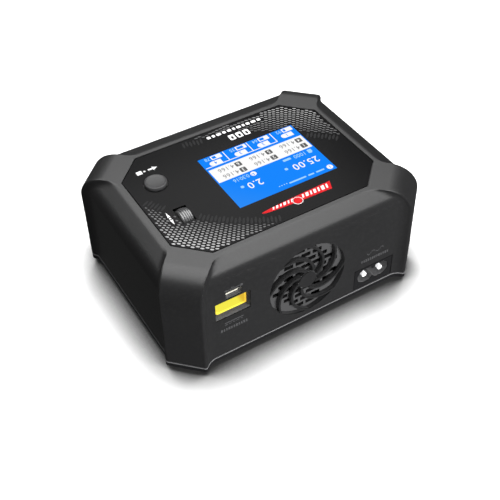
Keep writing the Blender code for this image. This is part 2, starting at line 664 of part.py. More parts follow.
def ac_inlet():
    """The mains inlet: a moulded block with a figure-of-eight cavity and two round pins."""
    (x, z), front = AC_CENTRE, 47.3
    bm = bmesh.new()
    add_prism(bm, chamfered((x, (AC_BLOCK[1] + AC_BLOCK[2]) / 2),
                            (AC_BLOCK[0], AC_BLOCK[2] - AC_BLOCK[1]), 0.5), "Y", 32.0, front)
    block = make_object("ac_inlet", bm, DARK_NYLON)
    bm = bmesh.new()
    add_figure_of_eight(bm, AC_LOBE, front - 9.5, front + 1.0)
    combine(block, bm)
    pins = [(x + side * AC_PITCH / 2, z) for side in (-1, 1)]
    bm = bmesh.new()
    for pin in pins:
        add_turned(bm, [(1.5, 31.0), (1.5, front - 9.0)], pin, "Y", 12)
    combine(block, bm)
    for number, pin in enumerate(pins, 1):
        bm = bmesh.new()
        add_turned(bm, [(1.2, 32.3), (1.2, front - 0.8), (0.9, front - 0.4)], pin, "Y", 16)
        make_object(f"ac_inlet_pin_{number}", bm, STEEL)


def fan_screw_places():
    """X and Z of the two screws that hold the fan, at opposite corners."""
    return [(-FAN_HOLES, FAN_CENTRE_Z + FAN_HOLES), (FAN_HOLES, FAN_CENTRE_Z - FAN_HOLES)]


def fan_frame():
    """The fan's square frame: a round duct, a motor base on three spokes and corner holes."""
    back = FAN_FRONT - FAN_DEPTH
    centre = (0.0, FAN_CENTRE_Z)
    bm = bmesh.new()
    add_prism(bm, chamfered(centre, (FAN_SIZE, FAN_SIZE), 2.5), "Y", back, FAN_FRONT)
    frame = make_object("fan_frame", bm, DARK_NYLON)
    bm = bmesh.new()
    add_turned(bm, [(19.0, back - 1.0), (19.0, FAN_FRONT + 1.0)], centre, "Y", 40)
    for x in (-FAN_HOLES, FAN_HOLES):
        for z in (FAN_CENTRE_Z - FAN_HOLES, FAN_CENTRE_Z + FAN_HOLES):
            add_turned(bm, [(1.7, back - 1.0), (1.7, FAN_FRONT + 1.0)], (x, z), "Y", 12)
    combine(frame, bm)
    bm = bmesh.new()
    add_turned(bm, [(8.0, back), (8.0, back + 1.4)], centre, "Y", 24)
    combine(frame, bm, "UNION")
    for i in range(3):
        angle = radians(90 + 120 * i)
        out, side = Vector((cos(angle), sin(angle))), Vector((-sin(angle), cos(angle)))
        corners = [out * 7.0 - side, out * 19.6 - side, out * 19.6 + side, out * 7.0 + side]
        bm = bmesh.new()
        add_prism(bm, [(c.x, FAN_CENTRE_Z + c.y) for c in corners], "Y", back + 0.1, back + 1.3)
        combine(frame, bm, "UNION")
    return frame


def fan_rotor():
    """The fan's hub and seven pitched blades, turned about Y."""
    front = FAN_FRONT - 0.6
    back = FAN_FRONT - FAN_DEPTH + 1.8
    centre = (0.0, FAN_CENTRE_Z)
    bm = bmesh.new()
    add_turned(bm, [(7.8, back), (7.8, front - 0.8), (7.0, front)], centre, "Y", 28)
    rotor = make_object("fan_rotor", bm, DARK_NYLON, (0.0, (front + back) / 2, FAN_CENTRE_Z))
    blades = 7
    for i in range(blades):
        turn = 2 * pi * i / blades
        rings = []
        for radius, pitch in ((7.2, 38), (12.5, 32), (18.2, 26)):
            reach = (front - back - 1.0) / 2 / tan(radians(pitch + 18))
            ring = []
            for along, lift in ((-1, -0.45), (1, -0.45), (1, 0.45), (-1, 0.45)):
                angle = turn + (along * reach + lift) / radius
                station = (front + back) / 2 + along * (front - back - 1.0) / 2
                ring.append((radius * cos(angle), station, FAN_CENTRE_Z + radius * sin(angle)))
            rings.append(ring)
        bm = bmesh.new()
        add_loft(bm, rings)
        combine(rotor, bm, "UNION")
    return rotor


def fan_screws():
    """Two long screws from the back of the fan into the rear panel."""
    back = FAN_FRONT - FAN_DEPTH
    profile = [(2.6, back - 1.8), (2.6, back - GAP), (1.25, back - GAP), (1.25, FAN_FRONT + 1.6)]
    for number, point in enumerate(fan_screw_places(), 1):
        bm = bmesh.new()
        add_turned(bm, profile, point, "Y", 16)
        make_object(f"fan_screw_{number}", bm, STEEL)


# ---------------------------------------------------------------- front connectors
def pin_places(x):
    """X and Z of the two contacts of an output."""
    return [(x + side * XT_PIN_PITCH / 2, OUTPUT_Z) for side in (-1, 1)]


def output_socket(number, x):
    """One battery output: a solid shell with a sleeve and a contact tube for each pole."""
    bm = bmesh.new()
    add_prism(bm, connector_shell((x, OUTPUT_Z), XT_SIZE), "Y", OUTPUT_FRONT, OUTPUT_BOARD_Y - GAP)
    shell = make_object(f"output_socket_{number}", bm, YELLOW_NYLON)
    sleeves, tubes = bmesh.new(), bmesh.new()
    for pin in pin_places(x):
        add_turned(sleeves, [(2.75, OUTPUT_FRONT - 1.0), (2.75, OUTPUT_FRONT + 9.0)], pin, "Y", 20)
        near, far = OUTPUT_FRONT + 0.8, OUTPUT_FRONT + 9.5
        add_turned(tubes, [(2.45, near), (2.45, far), (1.85, far), (1.85, near)], pin, "Y", 20, True)
    combine(shell, sleeves)
    combine(shell, tubes, "UNION")


def balance_socket(number, x):
    """One balance socket: an open box header with two keyways and a row of square pins."""
    front, back = BALANCE_FRONT, OUTPUT_BOARD_Y - GAP
    (width, height), z = BALANCE_SIZE, BALANCE_Z
    bm = bmesh.new()
    add_box(bm, (x - width / 2, front, z - height / 2), (x + width / 2, back, z + height / 2))
    shell = make_object(f"balance_socket_{number}", bm, WHITE_NYLON)
    bm = bmesh.new()
    add_box(bm, (x - width / 2 + 0.9, front - 1.0, z - height / 2 + 0.8),
            (x + width / 2 - 0.9, front + 6.5, z + height / 2 - 0.8))
    combine(shell, bm)
    bm = bmesh.new()
    for side in (-1, 1):
        slot = x + side * (width / 2 - 3.6)
        add_box(bm, (slot - 0.9, front - 1.0, z + height / 2 - 1.2),
                (slot + 0.9, front + 5.0, z + height / 2 + 1.0))
    combine(shell, bm)
    square = ((-1, -1), (1, -1), (1, 1), (-1, 1))
    bm = bmesh.new()
    for i in range(BALANCE_PINS):
        pin = x + (i - (BALANCE_PINS - 1) / 2) * BALANCE_PITCH
        add_loft(bm, [[(pin + a * half, station, z + b * half) for a, b in square]
                      for station, half in ((front + 7.2, 0.32), (front + 1.6, 0.32), (front + 1.1, 0.15))])
    combine(shell, bm, "UNION")


# ---------------------------------------------------------------- boards
def board(name, outline, axis, start, end, holes=()):
    """A circuit board with round fixing holes."""
    bm = bmesh.new()
    add_prism(bm, outline, axis, start, end)
    made = make_object(name, bm, BOARD_GREEN)
    if holes:
        bm = bmesh.new()
        for hole in holes:
            add_turned(bm, [(1.7, start - 1.0), (1.7, end + 1.0)], hole, axis, 12)
        combine(made, bm)
    return made


def boards():
    """The main board, the control board and the two upright boards behind the connectors."""
    front_half = [(56.0, 30.0), (-56.0, 30.0), (-56.0, -24.0), (-38.0, -42.0), (38.0, -42.0),
                  (56.0, -24.0)]
    board("main_board", front_half, "Z", *MAIN_BOARD_Z, BOARD_POSTS)
    board("control_board", chamfered((0, 0), (92.0, 54.0), 2.0), "Z", *CONTROL_BOARD_Z,
          corner_points(CONTROL_POSTS))
    y = OUTPUT_BOARD_Y
    board("output_board", chamfered((0, 26.0), (92.0, 34.0), 2.0), "Y", y, y + 1.6)
    x, z = DC_CENTRE
    board("input_board", chamfered((x, z + 2.4), (20.0, 16.0), 1.0), "Y", 32.1, 33.7)


def board_link():
    """The flat cable between the control board and the main board, with a plug at each end."""
    x, half = -51.5, 6.0
    top, bottom = CONTROL_BOARD_Z[0] - GAP, MAIN_BOARD_Z[1] + GAP
    route = [(x + 9.0, top - 2.0), (x + 9.0, top - 5.6), (x + 7.0, top - 9.0), (x + 1.5, top - 13.0),
             (x, top - 17.0), (x, bottom + 2.0)]
    edge = [(px + 0.4, pz) for px, pz in route] + [(px - 0.4, pz) for px, pz in reversed(route)]
    bm = bmesh.new()
    add_loft(bm, [[(px, y, pz) for px, pz in edge] for y in (-half, half)])
    cable = make_object("board_link_cable", bm, RIBBON_GREY)
    bm = bmesh.new()
    for px, low in ((x + 9.0, top - 3.0), (x, bottom)):
        add_box(bm, (px - 2.0, -half - 1.5, low), (px + 2.0, half + 1.5, low + 3.0))
    combine(cable, bm, "UNION")


# ---------------------------------------------------------------- power parts
DECK = MAIN_BOARD_Z[1] + GAP     # height that parts on the main board stand at


def standing_can(name, point, radius, height, recipe):
    """An electrolytic capacitor: a round can with a rolled groove near the foot."""
    profile = [(radius - 0.5, DECK), (radius, DECK + 0.5), (radius, DECK + 2.0),
               (radius - 0.4, DECK + 2.5), (radius, DECK + 3.0), (radius, DECK + height - 0.6),
               (radius - 0.6, DECK + height)]
    bm = bmesh.new()
    add_turned(bm, profile, point, "Z", 20)
    return make_object(name, bm, recipe)


def finned_sink(name, centre, length, fins, recipe):
    """A heat sink: an upright plate along Y with fins on one side."""
    x, y = centre
    comb = [(x - 1.5, y - length / 2), (x - 1.5, y + length / 2)]
    pitch = length / (2 * fins - 1)
    for i in range(fins):
        end = y + length / 2 - 2 * i * pitch
        comb += [(x + 6.0, end), (x + 6.0, end - pitch)]
        if i < fins - 1:
            comb += [(x + 1.0, end - pitch), (x + 1.0, end - 2 * pitch)]
    bm = bmesh.new()
    add_prism(bm, list(reversed(comb)), "Z", DECK, DECK + 24.0)
    return make_object(name, bm, recipe)


def power_parts():
    """What stands on the main board, mains side on -X and battery side on +X."""
    bm = bmesh.new()
    add_turned(bm, [(4.0, DECK), (9.0, DECK), (9.0, DECK + 9.0), (4.0, DECK + 9.0)], (-34.0, 20.0),
               "Z", 28, closed=True)
    make_object("common_mode_choke", bm, COPPER)
    bm = bmesh.new()
    add_turned(bm, [(2.6, 8.0), (2.6, 12.5), (2.3, 12.5), (2.3, 23.5), (2.6, 23.5), (2.6, 28.0)],
               (-48.0, DECK + 2.7), "Y", 20)
    make_object("mains_fuse", bm, CERAMIC)
    bm = bmesh.new()
    add_prism(bm, chamfered((-16.0, 24.5), (18.0, 7.5), 0.8), "Z", DECK, DECK + 13.0)
    make_object("filter_capacitor", bm, FILM_YELLOW)
    bm = bmesh.new()
    add_prism(bm, chamfered((-45.3, -2.5), (4.5, 20.0), 0.8), "Z", DECK, DECK + 14.0)
    make_object("bridge_rectifier", bm, DARK_NYLON)
    for number, x in enumerate((-38.0, -20.0), 1):
        standing_can(f"bulk_capacitor_{number}", (x, -26.0), 8.0, 27.0, CAN_BLUE)
    finned_sink("primary_heat_sink", (-37.0, -4.0), 22.0, 6, ALUMINIUM)
    transformer()
    finned_sink("output_heat_sink", (14.0, 0.0), 34.0, 9, ALUMINIUM)
    places = [(28.0, -22.0), (43.0, -22.0), (28.0, 4.0), (43.0, 4.0)]
    for number, (x, y) in enumerate(places, 1):
        bm = bmesh.new()
        add_prism(bm, chamfered((x, y), (12.8, 12.8), 1.8), "Z", DECK, DECK + 6.8)
        make_object(f"channel_inductor_{number}", bm, FERRITE)
    bm = bmesh.new()
    add_turned(bm, [(1.0, DECK + 4.0), (1.0, DECK + 8.5), (6.0, DECK + 8.5), (6.0, DECK),
                    (0.6, DECK), (0.6, DECK + 4.0)], (4.0, -27.0), "Z", 24)
    make_object("buzzer", bm, DARK_NYLON)


def transformer():
    """The mains transformer: an E core round a taped winding on its bobbin."""
    x, y = -12.0, -2.0
    width, depth, height = 30.0, 12.0, 26.0
    leg = 5.0
    bm = bmesh.new()
    frame = [(x - width / 2, DECK + 2.0), (x + width / 2, DECK + 2.0),
             (x + width / 2, DECK + height), (x - width / 2, DECK + height)]
    window = [(x - width / 2 + leg, DECK + 2.0 + leg), (x + width / 2 - leg, DECK + 2.0 + leg),
              (x + width / 2 - leg, DECK + height - leg), (x - width / 2 + leg, DECK + height - leg)]
    rings = [[(a, y + side * depth / 2, b) for a, b in outline]
             for outline, side in ((frame, -1), (frame, 1), (window, 1), (window, -1))]
    add_loft(bm, rings, closed=True)
    make_object("transformer_core", bm, FERRITE)
    bm = bmesh.new()
    low, high = DECK + 2.0 + leg + GAP, DECK + height - leg - GAP
    half = width / 2 - leg - GAP
    add_prism(bm, chamfered((x, y), (2 * half, 24.0), 3.0), "Z", low, high)
    make_object("transformer_winding", bm, COPPER)


def main():
    """Clear the scene, then make every piece."""
    for old in list(bpy.data.objects):
        bpy.data.objects.remove(old)
    upper_case()
    lower_case()
    top_label()
    case_screws()
    rubber_feet()
    display_window()
    display_module()
    display_header()
    exit_button()
    tact_switch("button_switch", BUTTON_CENTRE, 45.1, BUTTON_TRAVEL)
    scroll_wheel()
    wheel_carrier()
    tact_switch("wheel_switch", (WHEEL_CENTRE[0], WHEEL_CENTRE[1] - 10.0), 43.7, WHEEL_TRAVEL)
    dc_input()
    usb_port()
    ac_inlet()
    fan_frame()
    fan_rotor()
    fan_screws()
    for number, x in enumerate(output_places(), 1):
        output_socket(number, x)
        balance_socket(number, x)
    boards()
    board_link()
    power_parts()


main()
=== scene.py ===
"""Looks of the balance battery charger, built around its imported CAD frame.

Lengths are in millimetres unless a comment says otherwise; a mesh is scaled to metres when its object is
made. The frame is the CAD's: origin under the middle of the case on the plane of the feet, +X the user's
right, +Y the rear (fan and inlets), +Z up.
"""
import json
from math import acos, atan2, cos, pi, radians, sin, sqrt, tan

import bmesh
import bpy
from mathutils import Matrix, Vector


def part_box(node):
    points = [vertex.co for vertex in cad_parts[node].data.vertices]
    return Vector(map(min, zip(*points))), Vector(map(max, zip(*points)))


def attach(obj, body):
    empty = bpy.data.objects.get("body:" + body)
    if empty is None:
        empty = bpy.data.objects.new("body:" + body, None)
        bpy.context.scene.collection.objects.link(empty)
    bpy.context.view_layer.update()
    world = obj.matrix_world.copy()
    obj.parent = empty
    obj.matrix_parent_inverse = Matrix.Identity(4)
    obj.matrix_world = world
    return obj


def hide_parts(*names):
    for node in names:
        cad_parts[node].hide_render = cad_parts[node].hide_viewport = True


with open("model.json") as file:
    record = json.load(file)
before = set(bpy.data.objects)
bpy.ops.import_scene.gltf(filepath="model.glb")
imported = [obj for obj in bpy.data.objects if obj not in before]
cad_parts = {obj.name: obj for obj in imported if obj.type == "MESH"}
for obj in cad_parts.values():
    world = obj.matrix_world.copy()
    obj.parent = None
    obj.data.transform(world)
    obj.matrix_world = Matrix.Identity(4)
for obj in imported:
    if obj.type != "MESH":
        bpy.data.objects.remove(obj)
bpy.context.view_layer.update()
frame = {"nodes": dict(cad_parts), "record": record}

MM = 0.001
ROOT2 = sqrt(2.0)
GAP = 0.3


def cad(node):
    """Lowest corner, highest corner and centre of a CAD node, in millimetres."""
    low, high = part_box(node)
    return low / MM, high / MM, (low + high) / 2 / MM


def four(kind):
    """The same for four numbered CAD nodes."""
    return [cad(f"{kind}_{number}") for number in (1, 2, 3, 4)]


# ---- places read from the frame
CASE_LOW, CASE_HIGH, _ = cad("upper_case")
TOP_Z = CASE_HIGH.z                           # rim round the label
SEAM_Z = CASE_LOW.z - GAP / 2                 # joint line between the two halves
BASE_Z = cad("lower_case")[0].z
FILM_LOW, FILM_HIGH, _ = cad("top_label")
GLASS_LOW, GLASS_HIGH, _ = cad("display_window")
BUTTON = cad("exit_button")[2]
WHEEL_LOW, WHEEL_HIGH, WHEEL = cad("scroll_wheel")
WHEEL_RADIUS = (WHEEL_HIGH.z - WHEEL_LOW.z) / 2
FAN = cad("fan_rotor")[2]
DC = cad("dc_input_socket")[2]
USB = cad("usb_port")[2]
AC_LOW, AC_HIGH, AC = cad("ac_inlet")
OUTPUTS = four("output_socket")
BALANCES = four("balance_socket")
FEET = four("rubber_foot")
SCREWS = four("case_screw")

# ---- the case's shape, as in the CAD
WALL = 2.0
ROOF = 2.7
PANEL_X = {"rim": 52.6, "wall": 62.0, "slope": radians(28), "bend": 7.0}
PANEL_Y = {"rim": 37.4, "wall": 47.0, "slope": radians(17), "bend": 5.0}
DRAFT = 0.5
RIM_ROUND = 5.0               # radius that eases the rim into the shoulders
PILLAR_FLAT = 60.0
PILLAR_REACH = 71.9
PILLAR_DROP = 11.0
PILLAR_NEAR = 0.7
PILLAR_FAR = 19.2
PILLAR_EDGE = 1.25
FLANK_FILLET = 4.3
FLANK_STEPS = 9
EDGE_STEPS = 4
ROUNDING_STEPS = 30
LIP = 0.4                     # bevel along the seam, which catches the light
LABEL_CHAMFER = 12.1
LABEL_DEPTH = 0.9
PRINT = 0.02                  # thickness of a layer of ink
GRILLE_RADIUS = 18.75
GRILLE_HUB = 4.4
GRILLE_ARMS = 8
GRILLE_ARM_WIDTHS = (1.5, 2.1)              # across an arm at the hub and at the rim
GRILLE_SWEEP = radians(82)
GRILLE_RECESS = 2.2
GRILLE_BACK = 43.4
GRILLE_BOSS = 19.1
# Where the painted light of the grille arms' sides gives way to the dimmer painted light of the mesh.
GRILLE_LEDGE = 45.45          # just outside the mesh, behind the grille's arms
MESH_PITCH = (5.6, 3.2)
MESH_HOLE = (4.4, 2.0)
DC_OPENING = ((28.2, 27.3), (44.4, 37.1))
USB_OPENING = ((32.05, 37.75), (39.45, 41.7))
TOWER_RADIUS = 4.0            # of the towers that take the case screws
FOOT_SEAT = 6.3               # radius of a foot's recess
COLLAR_BACK = 43.2
COLLAR_WALL = 1.5
RECESS_FACE = 46.9            # the rear panel's face near its top
BUTTON_RADIUS = 5.1
SLOT_HALF = (2.95, 5.1)       # half the width and length of the wheel's slot
BULLET_SHELL = (15.9, 8.1)         # shell of a battery output and of the DC input
BULLET_PITCH = 7.2
USB_SIZE = (6.9, 2.7)
AC_BLOCK = (20.3, 6.2, 18.0)  # width, bottom and top of the mains inlet's block
AC_LOBE = 4.0
AC_WAIST = 0.56
AC_PITCH = 8.6
AC_OFFSET = 0.7               # the pins stand a little above the middle of the inlet's block

GRAIN_SPAN = (0.3, 0.7)       # where a noise has most of its values
SHARP_ANGLE = 32              # degrees between faces that keep a sharp edge
PIXEL_WAVES = pi / (20.0 * 0.153 * MM)      # wave texture's scale for the display's 0.153 mm pixels


# ---- materials
class Net:
    """A material's node tree, with short calls for the nodes used here."""

    def __init__(self, name, roughness=0.5, metallic=0.0, specular=0.5):
        self.material = bpy.data.materials.new(name)
        self.material.use_nodes = True
        self.nodes = self.material.node_tree.nodes
        self.links = self.material.node_tree.links
        self.shader = self.nodes["Principled BSDF"]
        self.set("Roughness", roughness)
        self.set("Metallic", metallic)
        self.set("Specular IOR Level", specular)
        self.place = self.nodes.new("ShaderNodeTexCoord").outputs["Object"]

    def set(self, socket, value):
        """Feed a shader input from a node's output, or give it a constant."""
        self.feed(self.shader.inputs[socket], value)

    def feed(self, socket, value):
        if isinstance(value, bpy.types.NodeSocket):
            self.links.new(value, socket)
        else:
            socket.default_value = value

    def add(self, kind, inputs, **settings):
        node = self.nodes.new(kind)
        for key, value in settings.items():
            setattr(node, key, value)
        for key, value in inputs.items():
            self.feed(node.inputs[key], value)
        return node

    def stretched(self, stretch):
        return self.add("ShaderNodeVectorMath", {0: self.place, 1: stretch}, operation="MULTIPLY").outputs[0]

    def noise(self, scale, detail=2.0, roughness=0.5, stretch=(1, 1, 1)):
        inputs = {"Vector": self.stretched(stretch), "Scale": scale, "Detail": detail,
                  "Roughness": roughness}
        return self.add("ShaderNodeTexNoise", inputs).outputs["Fac"]

    def cells(self, scale, feature="F1"):
        inputs = {"Vector": self.place, "Scale": scale}
        return self.add("ShaderNodeTexVoronoi", inputs, feature=feature).outputs[0]

    def waves(self, scale, direction="X", distortion=0.0):
        inputs = {"Vector": self.place, "Scale": scale, "Distortion": distortion}
        return self.add("ShaderNodeTexWave", inputs, bands_direction=direction).outputs["Fac"]

    def axis(self, name):
        return self.add("ShaderNodeSeparateXYZ", {0: self.place}).outputs[name]

    def math(self, operation, a, b=0.0):
        return self.add("ShaderNodeMath", {0: a, 1: b}, operation=operation).outputs[0]

    def times(self, a, b):
        return self.math("MULTIPLY", a, b)

    def remap(self, value, low, high, start=0.0, end=1.0):
        inputs = {"Value": value, "From Min": start, "From Max": end, "To Min": low, "To Max": high}
        return self.add("ShaderNodeMapRange", inputs).outputs[0]

    def mix(self, factor, a, b):
        inputs = {0: factor, 6: a, 7: b}
        return self.add("ShaderNodeMix", inputs, data_type="RGBA").outputs[2]

    def finish(self, tone, sheen, roughness, relief=0.0, depth=0.03, span=(0.0, 1.0)):
        """The material, with roughness that follows the sheen and, given a relief, a bump in millimetres."""
        self.set("Base Color", tone)
        self.set("Roughness", self.remap(sheen, *roughness, *span))
        if relief:
            inputs = {"Height": sheen, "Strength": relief, "Distance": depth * MM}
            self.set("Normal", self.add("ShaderNodeBump", inputs).outputs[0])
        return self.material

    def glow(self, colour, strength=1.0):
        """The material, giving off light of a colour."""
        self.set("Emission Color", colour)
        self.set("Emission Strength", strength)
        return self.material


def grey(value, blue):
    """A near-neutral grey with its own blue, and alpha."""
    return value, value, blue, 1.0


def shade(colour, factor):
    """A colour made lighter or darker, with alpha."""
    return (*[min(1.0, c * factor) for c in colour[:3]], 1.0)


def moulded(name, colour, roughness, grain, relief, specular):
    """Moulded plastic: fine spark-eroded grain, slightly uneven tone and sheen."""
    net = Net(name, specular=specular)
    tone = net.mix(net.noise(38, 3.0), shade(colour, 0.88), shade(colour, 1.12))
    specks = net.remap(net.noise(grain * 0.35, 1.0), 0.0, 0.5, 0.45, 0.7)
    tone = net.mix(specks, tone, shade(colour, 1.35))
    fine = net.noise(grain, 2.0, 0.6)
    return net.finish(tone, fine, (roughness - 0.06, roughness + 0.08), relief, span=GRAIN_SPAN)


def case_plastic():
    """The upper case's satin plastic, with painted light: paler on the fan's mesh, on the grille arms' sides
    and on the walls inside the rear openings, where the lamps do not reach.
    """
    net = Net("case_plastic_satin", specular=0.38)
    tone = net.mix(net.noise(38, 3.0), grey(0.0060, 0.0062), grey(0.0080, 0.0082))
    tone = net.mix(net.remap(net.noise(840, 1.0), 0.0, 0.5, 0.45, 0.7), tone, grey(0.0095, 0.0097))
    x, y, z = net.axis("X"), net.axis("Y"), net.axis("Z")

    def within(value, low, high):
        edge = 0.05
        rise = net.remap(value, 0.0, 1.0, (low - edge) * MM, (low + edge) * MM)
        fall = net.remap(value, 1.0, 0.0, (high - edge) * MM, (high + edge) * MM)
        return net.times(rise, fall)

    disc = net.times(within(x, -GRILLE_BOSS, GRILLE_BOSS),
                     within(z, FAN.z - GRILLE_RADIUS, FAN.z + GRILLE_RADIUS))
    inlets = net.times(within(x, DC_OPENING[0][0] - 1.0, DC_OPENING[1][0] + 0.6), within(z, 8.5, 46.2))
    # Painted light: each zone takes a paler tone, for the arms' sides, the mesh and the inlets' inner walls,
    # which the lamps leave in shade.
    painted_light_zones = ((disc, GRILLE_LEDGE, RECESS_FACE, grey(0.045, 0.046)),
             (disc, GRILLE_BACK - 0.5, GRILLE_LEDGE, grey(0.026, 0.0265)),
             (inlets, COLLAR_BACK - 0.2, RECESS_FACE - 0.2, grey(0.22, 0.225)))
    for zone, inner, outer, painted_light_tone in painted_light_zones:
        tone = net.mix(net.times(zone, within(y, inner, outer)), tone, painted_light_tone)
    return net.finish(tone, net.noise(2400, 2.0, 0.6), (0.35, 0.46), 0.25, span=GRAIN_SPAN)


def lower_plastic():
    """The lower shell's darker plastic, with a painted highlight: its top edge along the seam is a pale band.
    """
    net = Net("lower_shell_plastic", specular=0.27)
    # Painted highlight: everything above this height, the lip along the seam, takes a pale grey.
    lip = net.remap(net.axis("Z"), 0.0, 1.0, (SEAM_Z - 0.62) * MM, (SEAM_Z - 0.48) * MM)
    dark = net.mix(net.noise(38, 3.0), shade((0.0042, 0.0042, 0.0045), 0.85),
                   shade((0.0052, 0.0052, 0.0055), 1.1))
    tone = net.mix(lip, dark, grey(0.08, 0.082))
    return net.finish(tone, net.noise(2400, 2.0, 0.6), (0.42, 0.56), 0.25, span=GRAIN_SPAN)


def film():
    """The printed polycarbonate film: near-black ink under a finely frosted surface, painted lighter to the
    right as a reflection.
    """
    net = Net("label_film_print", specular=0.026)
    # Painted reflection: the ink grows lighter to the right, for a light's gleam on the film.
    across = net.math("ADD", net.axis("X"), net.times(net.axis("Y"), -0.45))
    right = net.remap(across, 0.0, 1.0, -0.006, 0.008)
    tone = net.mix(right, grey(0.0030, 0.0032), grey(0.0056, 0.0058))
    tone = net.mix(net.remap(net.noise(60, 2.0), 0.0, 0.35), tone, grey(0.0043, 0.0045))
    return net.finish(tone, net.noise(5200, 2.0), (0.15, 0.22), 0.04, 0.004)


def halftone_ink(name, centre, start, bright):
    """Grey ink of a crescent's cells, fading toward its inner edge; centre and start in millimetres."""
    net = Net(name, specular=0.06)
    inputs = {0: net.stretched((1, 1, 0)), 1: (centre[0] * MM, centre[1] * MM, 0.0)}
    reach = net.add("ShaderNodeVectorMath", inputs, operation="DISTANCE").outputs["Value"]
    fade = net.remap(reach, 0.0, 1.0, start * MM, (start + 17.0) * MM)
    tone = net.mix(fade, grey(0.045, 0.046), grey(bright, bright))
    grain = net.noise(900, 2.0)
    return net.finish(net.mix(net.remap(grain, 0.0, 0.3), tone, grey(0.05, 0.05)), grain, (0.30, 0.42))


def ink(name, colour):
    """An opaque printed ink with a slightly uneven laydown."""
    net = Net(name, specular=0.06)
    grain = net.noise(1400, 2.0)
    return net.finish(net.mix(grain, shade(colour, 0.88), shade(colour, 1.06)), grain, (0.34, 0.48))


def lit_pixels(name, colour):
    """A lit area of the display: its colour with a faint pixel grid, under smooth glass."""
    net = Net(name, roughness=0.14, specular=0.006)
    net.set("Base Color", grey(0.001, 0.001))
    grid = net.times(net.waves(PIXEL_WAVES, "X"), net.waves(PIXEL_WAVES, "Y"))
    lit = net.mix(net.remap(grid, 0.0, 0.10), shade(colour, 1.0), shade(colour, 0.7))
    return net.glow(net.mix(net.remap(net.noise(25, 1.0), 0.0, 0.10), lit, shade(colour, 0.85)))


def backlight():
    """The display's blue ground, with a painted reflection that makes it a little paler toward its upper
    right corner.
    """
    net = Net("display_blue", roughness=0.14, specular=0.006)
    net.set("Base Color", (0.001, 0.002, 0.004, 1.0))
    # Painted reflection: a paler patch toward the upper right, for a light's gleam on the glass.
    corner = net.remap(net.math("ADD", net.axis("X"), net.axis("Y")), 0.0, 0.55, 0.012, 0.032)
    blue = net.mix(corner, (0.0, 0.235, 1.0, 1.0), (0.035, 0.27, 0.88, 1.0))
    return net.glow(net.mix(net.remap(net.waves(PIXEL_WAVES), 0.0, 0.08), blue, (0.0, 0.12, 0.6, 1.0)))


def metal(name, colour, roughness, brushed, scale, wear=0.25, metallic=0.75, glow=0.0):
    """Plated or machined metal: brushed along one axis, with patches of duller plating; a glow, where given,
    is painted light that brightens it as if lit.
    """
    net = Net(name, metallic=metallic)
    lines = net.noise(scale, 3.0, 0.6, brushed)
    tone = net.mix(net.noise(120, 3.0), shade(colour, 1 - wear), shade(colour, 1.05))
    # Painted light: emission that makes the metal look lit.
    if glow:
        net.glow(net.mix(lines, shade(colour, 0.9), shade(colour, 1.0)), glow)
    return net.finish(tone, lines, (roughness - 0.08, roughness + 0.14), 0.15, 0.02, GRAIN_SPAN)


def circuit():
    """Green solder mask over a faint net of copper tracks."""
    net = Net("circuit_board_green")
    line = net.remap(net.cells(260, "DISTANCE_TO_EDGE"), 1.0, 0.0, 0.04, 0.07)
    mask = net.mix(net.noise(200, 2.0), (0.010, 0.10, 0.045, 1.0), (0.016, 0.14, 0.060, 1.0))
    return net.finish(net.mix(line, mask, (0.04, 0.24, 0.10, 1.0)), line, (0.42, 0.30), 0.4)


def wound_copper():
    """Enamelled wire laid side by side."""
    net = Net("enamelled_copper", metallic=0.8)
    turns = net.waves(420, "Z", 0.4)
    tone = net.mix(turns, (0.20, 0.07, 0.02, 1.0), (0.62, 0.26, 0.09, 1.0))
    return net.finish(tone, turns, (0.45, 0.26), 0.7, 0.25)


def speckled(name, colour, roughness, scale, contrast=0.4):
    """A fired or pressed material: speckles and a dry, slightly pitted surface."""
    net = Net(name, specular=0.4)
    tone = net.mix(net.cells(scale), shade(colour, 1 - contrast), shade(colour, 1 + contrast))
    return net.finish(tone, net.noise(scale * 2.0, 3.0), (roughness - 0.08, roughness + 0.1), 0.3, 0.05)


def sleeve():
    """Shrink sleeve of the electrolytic cans, with a pale stripe down one side."""
    net = Net("shrink_sleeve")
    stripe = net.remap(net.waves(9.0), 0.0, 1.0, 0.93, 0.96)
    blue = net.mix(net.noise(90, 2.0), (0.02, 0.05, 0.16, 1.0), (0.035, 0.08, 0.24, 1.0))
    return net.finish(net.mix(stripe, blue, (0.55, 0.58, 0.62, 1.0)), net.noise(400, 2.0), (0.30, 0.46))


def ribbon():
    """Flat cable: grey conductors side by side, the first one red."""
    net = Net("ribbon_cable", specular=0.4)
    wires = net.waves(250, "Y")
    first = net.remap(net.axis("Y"), 0.0, 1.0, 0.0050, 0.0052)
    tone = net.mix(first, net.mix(wires, grey(0.16, 0.17), grey(0.42, 0.43)), (0.45, 0.03, 0.03, 1.0))
    return net.finish(tone, wires, (0.60, 0.45), 0.8, 0.3)


def nylon(name, colour, roughness):
    """Unfilled nylon: bright, faintly translucent, with soft flow marks."""
    net = Net(name, specular=0.45)
    net.set("Subsurface Weight", 0.15)
    net.set("Subsurface Scale", 0.002)
    tone = net.mix(net.noise(120, 3.0, 0.6, (1, 0.25, 1)), shade(colour, 0.86), shade(colour, 1.06))
    return net.finish(tone, net.noise(1800, 2.0), (roughness - 0.06, roughness + 0.08), 0.15, 0.02)


